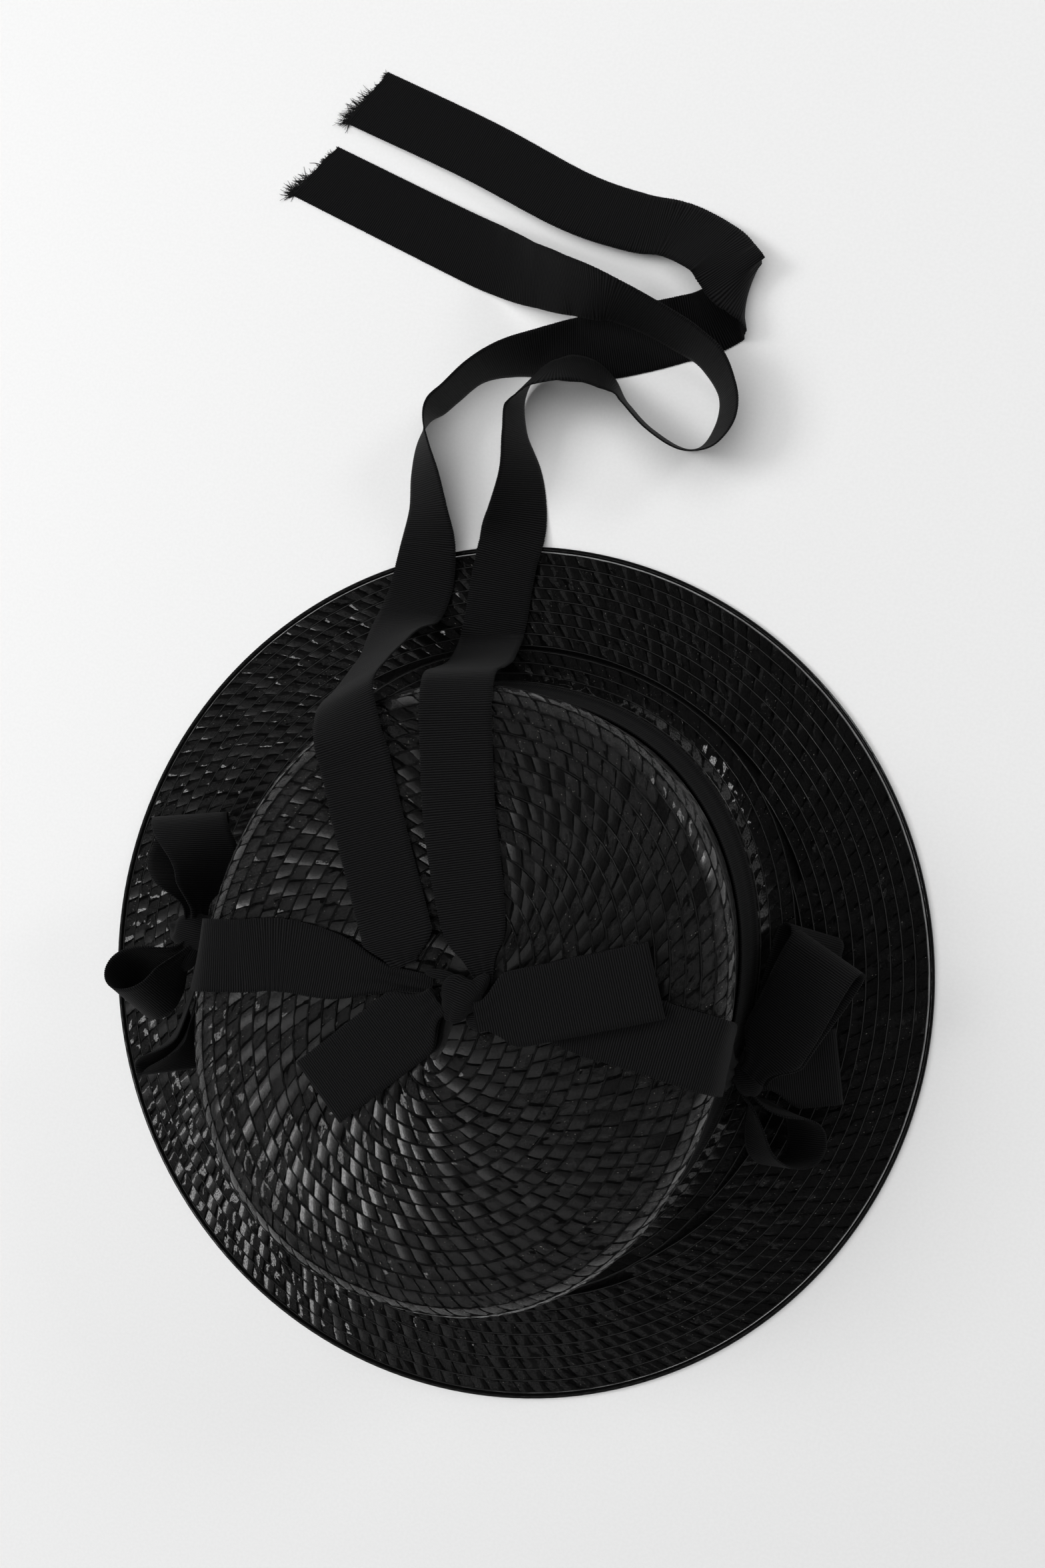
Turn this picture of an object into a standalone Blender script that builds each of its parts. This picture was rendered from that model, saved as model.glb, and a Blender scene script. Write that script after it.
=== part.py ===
"""Boater hat of sewn straw plait, with a ribbon band, a ribbon across the crown, three bows and two long tails.

Metres, +Z up. The hat stands on its brim: the origin is the middle of the head opening, on the surface
that the brim rests on. +Y is the hat's back, where the tails leave the crown.
"""

import math

import bmesh
import bpy
import numpy as np

# Straw: the brim's oval, and the crown's where it is widest
BRIM_WIDTH = 0.3084
BRIM_LENGTH = 0.3156
CROWN_WIDTH = 0.1746
CROWN_LENGTH = 0.2042
CROWN_HEIGHT = 0.083
CROWN_DOME = 0.0015
SHOULDER_WIDTH = 0.011
SHOULDER_DROP = 0.0095
FLARE_WIDTH = 0.0172
OVAL_POWER = 2.18
STRAW_WALL = 0.0024
EDGE_WIDTH = 0.0018
EDGE_HEIGHT = 0.0028
EDGE_ROUNDING = 0.00045

# Ribbon: one width for the band, the cross ribbon, the top bow and the tails, and one for the side bows
RIBBON_WIDTH = 0.0236
BOW_WIDTH = 0.026
RIBBON_THICK = 0.001
BAND_FOOT = 0.012
SEAM_SHARE = 0.6
ROOT_WIDTH = 0.4
ROOT_REACH = 0.45
LEFT_CUT = 0.25
RIGHT_CUT = -0.36
CUT_REACH = 2.0

GAP = 0.0003
SEAT_GAP = 0.00045
ROOT_HALF = RIBBON_THICK / 2 + 2 * GAP

# How finely the shapes are cut up
AROUND = 56
BEARINGS = np.linspace(0, 360, AROUND, endpoint=False)
TIP_REACHES = (0.4, 0.75)
BRIM_SHARES = (0.5, 1)
PROFILE_SAMPLES = 60
SHOULDER_SAMPLES = 5
SIDE_SAMPLES = 6
COLLAR_SAMPLES = 8
CROSS_SAMPLES = 26
TAIL_SAMPLES = 112
LEG_SAMPLES = 8
BEND_SAMPLES = 6
KNOT_SEGMENTS = 14
KNOT_RINGS = 8
SEAT_SAMPLES = 7
SLIDE_STEPS = 401

# The crown's outer side from the shoulder's foot down to the flat brim. Columns: out, how far it stands beyond
# the crown's oval, as a share of the flare's width; up, its height above the brim, as a share of the side's.
SIDE = (
    (0.00, 1.000),
    (-0.07, 0.763),
    (-0.08, 0.559),
    (-0.06, 0.440),
    (0.04, 0.305),
    (0.10, 0.210),
    (0.21, 0.135),
    (0.40, 0.068),
    (0.66, 0.025),
    (1.00, 0.000),
)

# Ribbons that follow the hat. Columns: bearing in degrees; reach, as hat_skin takes it; and as shares of the
# ribbon's width, its lift off the skin and the width that it is gathered to.
CROSS_LEFT = (
    (151, 0.085, 0.036, 0.34),
    (171, 0.185, 0.036, 0.36),
    (176, 0.300, 0.036, 0.42),
    (178.9, 0.50, 0.036, 0.88),
    (180.2, 0.75, 0.036, 1.00),
    (182.6, 0.94, 0.046, 1.00),
    (184, 1.08, 0.078, 1.00),
    (185, 1.18, 0.078, 0.98),
    (185.5, 1.30, 0.060, 0.90),
    (186, 1.42, 0.085, 0.76),
    (186, 1.52, 0.140, 0.62),
    (186, 1.60, 0.150, 0.52),
)
CROSS_RIGHT = (
    (11, 0.150, 0.036, 0.32),
    (10, 0.240, 0.036, 0.38),
    (9, 0.360, 0.036, 0.55),
    (8, 0.595, 0.036, 1.00),
    (6, 0.800, 0.036, 1.00),
    (4.9, 0.94, 0.040, 1.00),
    (4, 1.08, 0.050, 1.00),
    (3, 1.18, 0.055, 0.95),
    (1.5, 1.30, 0.060, 0.80),
    (0, 1.42, 0.085, 0.62),
    (-1.5, 1.52, 0.140, 0.50),
    (-2.2, 1.63, 0.150, 0.42),
)
LEFT_TAIL_HAT = (
    (157.5, 0.225, 0.090, 0.30),
    (154, 0.255, 0.090, 0.50),
    (147.5, 0.315, 0.085, 0.98),
    (142.4, 0.406, 0.050, 1.00),
    (139.1, 0.497, 0.040, 1.00),
    (134, 0.740, 0.040, 1.00),
    (131.5, 0.930, 0.045, 1.00),
    (130.5, 1.040, 0.080, 1.00),
    (128.5, 1.140, 0.260, 1.00),
    (126, 1.270, 0.560, 1.00),
    (124, 1.440, 0.860, 1.00),
    (122.3, 1.620, 1.080, 1.00),
    (121, 2.410, 0.460, 1.00),
    (119.1, 2.600, 0.130, 1.00),
    (117.3, 2.800, 0.060, 1.00),
)
RIGHT_TAIL_HAT = (
    (42, 0.170, 0.060, 0.20),
    (54, 0.180, 0.060, 0.30),
    (68, 0.205, 0.060, 0.46),
    (82.3, 0.266, 0.050, 0.82),
    (94.4, 0.418, 0.040, 0.96),
    (101.9, 0.672, 0.040, 1.00),
    (104, 0.930, 0.045, 1.00),
    (104.3, 1.050, 0.070, 1.00),
    (104.5, 1.150, 0.150, 1.00),
    (105.2, 1.340, 0.330, 1.00),
    (106, 1.530, 0.460, 1.00),
    (106.9, 1.720, 0.530, 1.00),
    (107.2, 2.090, 0.170, 1.00),
    (106.4, 2.310, 0.055, 1.00),
    (105.5, 2.600, 0.050, 1.00),
    (104.6, 2.860, 0.095, 1.00),
)

# The tails beyond the brim. Columns: x and y of the middle, as shares of the brim's half length; lift, the
# height of the lower edge as a share of the ribbon's width; and in degrees, turn, the way that the left edge
# lies in plan, and its lean up.
LEFT_TAIL_FLOOR = (
    (-0.430, 0.930, 0.12, 181, -16),
    (-0.448, 1.005, 0.04, 184, -38),
    (-0.475, 1.083, 0.03, 179, -49),
    (-0.494, 1.148, 0.03, 172, -63),
    (-0.497, 1.198, 0.03, 152, -76),
    (-0.482, 1.236, 0.03, 140, -90),
    (-0.454, 1.275, 0.03, 137, -91),
    (-0.410, 1.333, 0.03, 128, -94),
    (-0.345, 1.377, 0.03, 122, -106),
    (-0.259, 1.411, 0.03, 114, -122),
    (-0.160, 1.450, 0.03, 108, -151),
    (-0.064, 1.494, 0.03, 108, -162),
    (0.020, 1.540, 0.04, 110, -176),
    (0.085, 1.572, 0.05, 118, -160),
    (0.122, 1.609, 0.04, 160, -112),
    (0.122, 1.668, 0.04, 197, -58),
    (0.046, 1.733, 0.04, 220, -34),
    (-0.028, 1.764, 0.04, 238, -8),
    (-0.145, 1.754, 0.04, 248, 15),
    (-0.303, 1.782, 0.03, 253, 17),
    (-0.558, 1.853, 0.03, 254, 11),
    (-0.865, 1.929, 0.03, 254, 2),
)
RIGHT_TAIL_FLOOR = (
    (-0.237, 0.985, 0.18, 195, 6),
    (-0.237, 1.053, 0.05, 202, 36),
    (-0.249, 1.136, 0.03, 213, 60),
    (-0.281, 1.216, 0.03, 250, 74),
    (-0.300, 1.285, 0.03, 285, 71),
    (-0.276, 1.338, 0.21, 302, 65),
    (-0.223, 1.357, 0.54, 298, 58),
    (-0.180, 1.374, 0.48, 294, 54),
    (-0.130, 1.381, 0.28, 294, 53),
    (-0.088, 1.366, 0.12, 299, 59),
    (-0.049, 1.334, 0.03, 308, 65),
    (0.014, 1.293, 0.03, 310, 68),
    (0.082, 1.266, 0.03, 307, 73),
    (0.128, 1.266, 0.03, 311, 75),
    (0.163, 1.292, 0.03, 322, 71),
    (0.180, 1.350, 0.03, 329, 66),
    (0.165, 1.413, 0.04, 338, 65),
    (0.114, 1.470, 0.14, 355, 58),
    (0.047, 1.498, 0.26, 370, 54),
    (-0.036, 1.517, 0.48, 378, 54),
    (-0.134, 1.529, 0.72, 396, 56),
    (-0.228, 1.546, 0.56, 416, 58),
    (-0.322, 1.569, 0.24, 428, 50),
    (-0.421, 1.597, 0.05, 433, 28),
    (-0.560, 1.636, 0.03, 434, 6),
    (-0.952, 1.737, 0.03, 434, 0),
)

# The side knots. Columns: bearing in degrees; and as shares of the bow ribbon's width, the height above the
# band's foot, how far it stands beyond the crown's oval, its half width and its half height.
LEFT_KNOT = (184, 1.19, 1.03, 0.25, 0.25)
RIGHT_KNOT = (-2, 0.58, 0.54, 0.25, 0.23)

# The top knot: its middle's x and y, and its half sizes, as shares of the ribbon's width
TOP_KNOT_PLACE = (0.17, 0.15)
TOP_KNOT_HALF = (0.275, 0.34, 0.148)

# The loops: where a loop leaves its knot and where it ends, from the knot's middle, and its girth, all as
# shares of its ribbon's width; spread is the share of its length over which it opens. roll turns the ribbon
# about the loop's run, at the knot and at the end, and twist is the share of its length over which it turns.
LOOP_COLUMNS = (
    "root_x", "root_y", "root_z", "end_x", "end_y", "end_z", "girth", "spread", "root_roll", "end_roll", "twist"
)
TOP_LOOPS = {
    "top_loop_left": (-0.34, -0.18, -0.01, -1.56, -1.78, -0.075, 0.15, 0.30, 0, 0, 1.0),
    "top_loop_right": (0.45, -0.06, -0.01, 2.43, 0.99, -0.06, 0.15, 0.30, 0, 0, 1.0),
}
LEFT_LOOPS = {
    "left_loop_back": (-0.18, 0.31, 0.00, -0.64, 1.50, -0.12, 0.76, 0.90, 80, 24, 1.0),
    "left_loop_side": (-0.22, -0.40, 0.11, -0.72, -1.12, 0.37, 0.68, 1.00, 100, 101, 1.0),
    "left_loop_front": (0.08, -0.25, -0.26, -0.36, -2.25, -0.90, 0.46, 1.00, -114, -40, 0.45),
}
RIGHT_LOOPS = {
    "right_loop_back": (0.15, 0.37, 0.35, 0.58, 2.04, 0.47, 0.46, 0.80, -38, -30, 1.0),
    "right_loop_under": (0.22, 0.33, -0.42, 0.48, 2.12, -0.52, 0.26, 0.70, 40, 38, 1.0),
    "right_loop_side": (0.27, 0.09, -0.18, 1.09, 0.40, -0.45, 0.16, 0.40, 0, 0, 1.0),
    "right_loop_front": (0.12, -0.31, -0.16, 1.01, -0.88, -0.36, 0.72, 0.90, 84, 80, 1.0),
}


def clear_scene():
    for obj in list(bpy.data.objects):
        bpy.data.objects.remove(obj, do_unlink=True)


def coloured(name, colour, roughness, coat=0.0):
    material = bpy.data.materials.new(name)
    material.use_nodes = True
    shader = material.node_tree.nodes["Principled BSDF"]
    shader.inputs["Base Color"].default_value = (*colour, 1)
    shader.inputs["Roughness"].default_value = roughness
    shader.inputs["Metallic"].default_value = 0
    shader.inputs["Coat Weight"].default_value = coat
    return material


def ellipse_point(bearing, half_width, half_length, power=2.0):
    """A point of a (super)ellipse at a bearing in degrees, 0 along +X and 90 along +Y."""
    cos, sin = math.cos(math.radians(bearing)), math.sin(math.radians(bearing))
    x = half_width * math.copysign(abs(cos) ** (2 / power), cos)
    y = half_length * math.copysign(abs(sin) ** (2 / power), sin)
    return np.array((x, y))


def smooth_rows(rows, samples):
    """Samples a smooth curve through the rows, evenly by row number, as a Catmull-Rom spline."""
    rows = np.asarray(rows, float)
    padded = np.vstack((2 * rows[0] - rows[1], rows, 2 * rows[-1] - rows[-2]))
    found = []
    for place in np.linspace(0, len(rows) - 1, samples):
        i = min(int(place), len(rows) - 2)
        t = place - i
        a, b, c, d = padded[i : i + 4]
        found.append(0.5 * (2 * b + (c - a) * t + (2 * a - 5 * b + 4 * c - d) * t**2
                            + (3 * b - a - 3 * c + d) * t**3))
    return np.array(found)


def unit(vector):
    return vector / np.linalg.norm(vector)


def ease(share):
    """0 to 1, level at both ends."""
    share = min(max(share, 0), 1)
    return share * share * (3 - 2 * share)


def shoulder_rows(samples):
    """(out, up) over the shoulder, from the tip to the side."""
    top = CROWN_HEIGHT - CROWN_DOME
    return np.array([
        (-SHOULDER_WIDTH * (1 - math.sin(turn)), top - SHOULDER_DROP * (1 - math.cos(turn)))
        for turn in np.radians(np.linspace(0, 90, samples))
    ])


SHOULDER_FOOT = CROWN_HEIGHT - CROWN_DOME - SHOULDER_DROP
SIDE_SIZE = np.array((FLARE_WIDTH, SHOULDER_FOOT - STRAW_WALL))
SIDE_CURVE = smooth_rows(SIDE, PROFILE_SAMPLES) * SIDE_SIZE + (0, STRAW_WALL)
PROFILE = np.vstack((shoulder_rows(2 * SHOULDER_SAMPLES), SIDE_CURVE[1:]))
ALONG = np.concatenate(([0], np.cumsum(np.linalg.norm(np.diff(PROFILE, axis=0), axis=1))))


def profile_at(along):
    return np.array([np.interp(along, ALONG, column) for column in PROFILE.T])


def profile_rows(top, bottom, samples):
    """(out, up) of the outer skin between two heights, evenly along its length."""
    ends = np.interp((-top, -bottom), -PROFILE[:, 1], ALONG)
    return [profile_at(along) for along in np.linspace(*ends, samples)]


def ring_point(bearing, out, up):
    """A point at this distance beyond the crown's oval."""
    x, y = ellipse_point(bearing, CROWN_WIDTH / 2 + out, CROWN_LENGTH / 2 + out, OVAL_POWER)
    return np.array((x, y, up))


def brim_point(bearing, share, up, inset=0.0):
    """A point of the flat brim, 0 at its inner end and 1 at its outer edge less the inset."""
    inner = ring_point(bearing, FLARE_WIDTH, up)[:2]
    outer = ellipse_point(bearing, BRIM_WIDTH / 2 - inset, BRIM_LENGTH / 2 - inset)
    return np.array((*(inner + (outer - inner) * share), up))


def hat_skin(bearing, reach):
    """A point of the outer skin. reach is 0 at the tip's middle, 1 where the shoulder starts, 2 where the
    side meets the flat brim, and 3 at the brim's edge."""
    if reach <= 1:
        x, y, _ = ring_point(bearing, -SHOULDER_WIDTH, 0) * reach
        return np.array((x, y, CROWN_HEIGHT - CROWN_DOME * reach**2))
    if reach <= 2:
        return ring_point(bearing, *profile_at((reach - 1) * ALONG[-1]))
    return brim_point(bearing, reach - 2, STRAW_WALL)


def skin_normal(bearing, reach):
    step, turn = 0.004, 0.5
    reach = max(reach, 2 * step)
    down = hat_skin(bearing, reach + step) - hat_skin(bearing, reach - step)
    round_it = hat_skin(bearing + turn, reach) - hat_skin(bearing - turn, reach)
    return unit(np.cross(down, round_it))


def spread_evenly(rows, samples):
    """Samples a smooth curve through the rows evenly along its length in its first three columns."""
    fine = smooth_rows(rows, 12 * len(rows))
    along = np.concatenate(([0], np.cumsum(np.linalg.norm(np.diff(fine[:, :3], axis=0), axis=1))))
    wanted = np.linspace(0, along[-1], samples)
    return np.array([np.interp(wanted, along, column) for column in fine.T]).T


def hat_stations(rows):
    """The middle, the crosswise direction and the width share at each row of a ribbon on the hat."""
    middles = np.array([hat_skin(b, r) + skin_normal(b, r) * lift * RIBBON_WIDTH for b, r, lift, _ in rows])
    runs = np.gradient(middles, axis=0)
    across = [unit(np.cross(skin_normal(row[0], row[1]), run)) for row, run in zip(rows, runs)]
    return np.hstack((middles, across, np.array(rows)[:, 3:]))


def floor_stations(rows):
    """The same for the rows of a tail beyond the brim, where it has its full width."""
    found = []
    for x, y, lift, turn, lean in rows:
        turn, lean = math.radians(turn), math.radians(lean)
        up = RIBBON_WIDTH * (lift + abs(math.sin(lean)) / 2)
        middle = (x * BRIM_LENGTH / 2, y * BRIM_LENGTH / 2, up)
        across = (math.cos(turn) * math.cos(lean), math.sin(turn) * math.cos(lean), math.sin(lean))
        found.append((*middle, *across, 1))
    return np.array(found)


def ribbon_edges(stations, samples, cut=0.0):
    """The left and right edges of a ribbon. cut is how much further the left edge goes at the cut end."""
    rows = spread_evenly(stations, samples)
    middles, across = rows[:, :3], rows[:, 3:6]
    runs = np.array([unit(run) for run in np.gradient(middles, axis=0)])
    across = np.array([unit(side - run * side.dot(run)) for side, run in zip(across, runs)])
    half = np.clip(rows[:, 6:], 0, 1) * RIBBON_WIDTH / 2
    lowest = middles[:, 2] - np.abs(across[:, 2]) * half[:, 0] - RIBBON_THICK / 2
    middles[:, 2] += np.maximum(GAP - lowest, 0)
    left_over = np.linalg.norm(middles - middles[-1], axis=1) / (CUT_REACH * RIBBON_WIDTH)
    skew = runs * (cut / 2 * np.clip(1 - left_over, 0, 1))[:, None]
    return np.stack((middles + across * half + skew, middles - across * half - skew), axis=1)


def outside_knot(points, knot):
    """How far points stand off a knot, along the line from its middle."""
    middle, half_sizes, bearing = knot
    cos, sin = math.cos(math.radians(bearing)), math.sin(math.radians(bearing))
    x, y, z = (points - middle).T
    share = np.linalg.norm(np.stack((x * cos + y * sin, y * cos - x * sin, z), axis=1) / half_sizes, axis=1)
    return np.linalg.norm(points - middle, axis=1) * (1 - 1 / share)


def seated(root, run, across, width, knot):
    """The loop's root, slid along its run to where the ribbon's end meets the knot."""
    shares = np.linspace(-1, 1, SEAT_SAMPLES)[:, None]
    faces = np.cross(run, across) * (ROOT_HALF + RIBBON_THICK / 2)
    end_edge = root + across * shares * ROOT_WIDTH * width / 2
    end_edge = np.vstack((end_edge + faces, end_edge - faces))
    nearest, best = np.inf, 0
    for slide in np.linspace(1, -1, SLIDE_STEPS) * width:
        clear = outside_knot(end_edge + run * slide, knot).min()
        if clear < SEAT_GAP:
            break
        if clear < nearest:
            nearest, best = clear, slide
    return root + run * best


def loop_edges(knot, width, row):
    """The two edges of a loop's ribbon, from the knot out along one leg, round the end and back."""
    row = dict(zip(LOOP_COLUMNS, row))
    middle = knot[0]
    root = middle + width * np.array([row["root_x"], row["root_y"], row["root_z"]])
    end = middle + width * np.array([row["end_x"], row["end_y"], row["end_z"]])
    run = unit(end - root)
    level = unit(np.cross((0, 0, 1), run))
    upright = np.cross(run, level)
    roll = math.radians(row["root_roll"])
    root = seated(root, run, level * math.cos(roll) + upright * math.sin(roll), width, knot)
    length = np.linalg.norm(end - root)
    end_half = row["girth"] * width / 2
    legs = length - end_half
    path = []
    for share in np.linspace(0, 1, LEG_SAMPLES):
        path.append((legs * share, ROOT_HALF + (end_half - ROOT_HALF) * ease(share / row["spread"])))
    for turn in np.radians(np.linspace(90, -90, BEND_SAMPLES + 1)[1:-1]):
        path.append((legs + end_half * math.cos(turn), end_half * math.sin(turn)))
    path += [(along, -side) for along, side in path[LEG_SAMPLES - 1 :: -1]]
    edges = []
    for along, side in path:
        turned = ease((along / length - 1) / row["twist"] + 1)
        roll = math.radians(row["root_roll"] + (row["end_roll"] - row["root_roll"]) * turned)
        across = level * math.cos(roll) + upright * math.sin(roll)
        place = root + run * along + np.cross(run, across) * side
        half = width / 2 * (ROOT_WIDTH + (1 - ROOT_WIDTH) * ease(along / (ROOT_REACH * width)))
        edges.append((place + across * half, place - across * half))
    return np.array(edges)


def sheet(name, rows, thickness, side, material, ring=False, tip=None):
    """An object made from a grid of points, one row per station, thickened by a Solidify modifier. side is
    -1 to thicken behind the faces, 1 before them and 0 half and half. A ring's rows close on themselves."""
    shape = bmesh.new()
    grid = [[shape.verts.new(point) for point in row] for row in rows]
    count = len(grid[0])
    steps = [(i, (i + 1) % count) for i in range(count if ring else count - 1)]
    for upper, lower in zip(grid, grid[1:]):
        for i, j in steps:
            shape.faces.new((upper[i], lower[i], lower[j], upper[j]))
    if tip is not None:
        middle = shape.verts.new(tip)
        for i, j in steps:
            shape.faces.new((middle, grid[0][i], grid[0][j]))
    mesh = bpy.data.meshes.new(name)
    shape.to_mesh(mesh)
    shape.free()
    mesh.materials.append(material)
    obj = bpy.data.objects.new(name, mesh)
    bpy.context.collection.objects.link(obj)
    wall = obj.modifiers.new("Wall", "SOLIDIFY")
    wall.thickness = thickness
    wall.offset = side
    wall.use_even_offset = True
    mesh.shade_smooth()
    return obj


def ribbon(name, stations, samples, material, cut=0.0):
    return sheet(name, ribbon_edges(stations, samples, cut), RIBBON_THICK, 0, material)


def rings(rows):
    return [[ring_point(bearing, out, up) for bearing in BEARINGS] for out, up in rows]


def add_knot(name, knot, material):
    """A knot as one rounded lump, its first half size along its bearing."""
    middle, half_sizes, bearing = knot
    mesh = bpy.data.meshes.new(name)
    shape = bmesh.new()
    bmesh.ops.create_uvsphere(shape, u_segments=KNOT_SEGMENTS, v_segments=KNOT_RINGS, radius=1)
    bmesh.ops.scale(shape, vec=half_sizes, verts=shape.verts)
    shape.to_mesh(mesh)
    shape.free()
    mesh.materials.append(material)
    mesh.shade_smooth()
    obj = bpy.data.objects.new(name, mesh)
    obj.location = middle
    obj.rotation_euler = (0, 0, math.radians(bearing))
    bpy.context.collection.objects.link(obj)


def side_knot(row):
    """The middle, half sizes and bearing of a knot that reaches from the cross ribbon out to its stand."""
    bearing, up, stand, half_width, half_height = row
    height = BAND_FOOT + up * BOW_WIDTH
    wall = profile_rows(height, height, 1)[0][0]
    seat = wall + 2 * RIBBON_THICK + 4 * GAP
    outer = stand * BOW_WIDTH
    half_sizes = ((outer - seat) / 2, half_width * BOW_WIDTH, half_height * BOW_WIDTH)
    return ring_point(bearing, (outer + seat) / 2, height), half_sizes, bearing


def main():
    clear_scene()
    straw = coloured("straw", (0.012, 0.012, 0.013), 0.28, 0.6)
    grosgrain = coloured("grosgrain", (0.010, 0.010, 0.011), 0.75)

    # Straw: the crown's shell down to the seam behind the band, and the brim with its collar
    seam = BAND_FOOT + SEAM_SHARE * RIBBON_WIDTH
    tip = [[hat_skin(bearing, reach) for bearing in BEARINGS] for reach in TIP_REACHES]
    side = profile_rows(SHOULDER_FOOT, seam + GAP, SIDE_SAMPLES)[1:]
    crown_rows = tip + rings(shoulder_rows(SHOULDER_SAMPLES)) + rings(side)
    sheet("crown", crown_rows, STRAW_WALL, -1, straw, ring=True, tip=(0, 0, CROWN_HEIGHT))
    collar = rings(profile_rows(seam, STRAW_WALL, COLLAR_SAMPLES))
    flat = [
        [brim_point(bearing, share, STRAW_WALL, EDGE_WIDTH + GAP) for bearing in BEARINGS]
        for share in BRIM_SHARES
    ]
    sheet("brim", collar + flat, STRAW_WALL, -1, straw, ring=True)
    edge_rows = [[brim_point(bearing, 1, up) for bearing in BEARINGS] for up in (EDGE_HEIGHT, 0)]
    edge = sheet("brim_edge", edge_rows, EDGE_WIDTH, -1, straw, ring=True)
    rounding = edge.modifiers.new("Rounding", "BEVEL")
    rounding.width = EDGE_ROUNDING
    rounding.segments = 1

    # Ribbons that lie on the hat
    band_top = BAND_FOOT + RIBBON_WIDTH
    top, foot = profile_rows(band_top, BAND_FOOT, 2)
    band_rows = [top, (top + foot) / 2, foot]
    band = rings([(out + GAP, up) for out, up in band_rows])
    sheet("hat_band", band, RIBBON_THICK, 1, grosgrain, ring=True)
    ribbon("cross_band_left", hat_stations(CROSS_LEFT), CROSS_SAMPLES, grosgrain)
    ribbon("cross_band_right", hat_stations(CROSS_RIGHT), CROSS_SAMPLES, grosgrain)
    left_tail = np.vstack((hat_stations(LEFT_TAIL_HAT), floor_stations(LEFT_TAIL_FLOOR)))
    right_tail = np.vstack((hat_stations(RIGHT_TAIL_HAT), floor_stations(RIGHT_TAIL_FLOOR)))
    ribbon("tail_left", left_tail, TAIL_SAMPLES, grosgrain, cut=LEFT_CUT * RIBBON_WIDTH)
    ribbon("tail_right", right_tail, TAIL_SAMPLES, grosgrain, cut=RIGHT_CUT * RIBBON_WIDTH)

    # The bows
    top_middle = np.array((
        TOP_KNOT_PLACE[0] * RIBBON_WIDTH,
        TOP_KNOT_PLACE[1] * RIBBON_WIDTH,
        CROWN_HEIGHT + 2 * GAP + TOP_KNOT_HALF[2] * RIBBON_WIDTH,
    ))
    top_knot = (top_middle, [half * RIBBON_WIDTH for half in TOP_KNOT_HALF], 0)
    for knot_name, knot, width, loops in (
        ("top_knot", top_knot, RIBBON_WIDTH, TOP_LOOPS),
        ("left_knot", side_knot(LEFT_KNOT), BOW_WIDTH, LEFT_LOOPS),
        ("right_knot", side_knot(RIGHT_KNOT), BOW_WIDTH, RIGHT_LOOPS),
    ):
        add_knot(knot_name, knot, grosgrain)
        for name, row in loops.items():
            sheet(name, loop_edges(knot, width, row), RIBBON_THICK, 0, grosgrain)


main()
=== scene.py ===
import math

import bmesh
import bpy
import numpy as np
from mathutils import Matrix, Vector


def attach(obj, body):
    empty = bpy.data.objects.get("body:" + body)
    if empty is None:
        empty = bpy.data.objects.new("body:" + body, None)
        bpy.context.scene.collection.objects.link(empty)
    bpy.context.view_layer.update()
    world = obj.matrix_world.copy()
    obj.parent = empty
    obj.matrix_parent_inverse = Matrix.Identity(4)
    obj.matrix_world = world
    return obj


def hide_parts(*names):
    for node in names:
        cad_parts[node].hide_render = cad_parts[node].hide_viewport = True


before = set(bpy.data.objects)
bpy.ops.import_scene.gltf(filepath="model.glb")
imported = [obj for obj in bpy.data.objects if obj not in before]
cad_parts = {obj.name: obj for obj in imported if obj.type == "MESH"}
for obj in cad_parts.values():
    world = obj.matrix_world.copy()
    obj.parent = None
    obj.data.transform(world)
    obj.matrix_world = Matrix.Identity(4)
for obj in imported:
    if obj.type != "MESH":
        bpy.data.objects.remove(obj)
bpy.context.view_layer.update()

# The camera looks down on the hat from behind its right side, as the photograph does.
# The frame is 1568 x 2352, long side up, and the lens is given for 36 mm along that side.
CAMERA_PLACE = Vector((0.0926, 0.0973, 0.520))
CAMERA_AIM = Vector((-0.0112, 0.0691, 0))
CAMERA_ROLL = math.radians(14.74)
CAMERA_LENS = 32.9
bpy.ops.object.select_all(action="DESELECT")
camera = bpy.data.objects.new("camera", bpy.data.cameras.new("camera"))
bpy.context.collection.objects.link(camera)
forward = (CAMERA_AIM - CAMERA_PLACE).normalized()
level = forward.cross(Vector((0, 1, 0))).normalized()
upward = level.cross(forward)
right = level * math.cos(CAMERA_ROLL) + upward * math.sin(CAMERA_ROLL)
upward = right.cross(forward)
camera_turn = Matrix((right, upward, -forward)).transposed().to_4x4()
camera.matrix_world = Matrix.Translation(CAMERA_PLACE) @ camera_turn
camera.data.lens = CAMERA_LENS
bpy.context.scene.camera = camera


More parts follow.
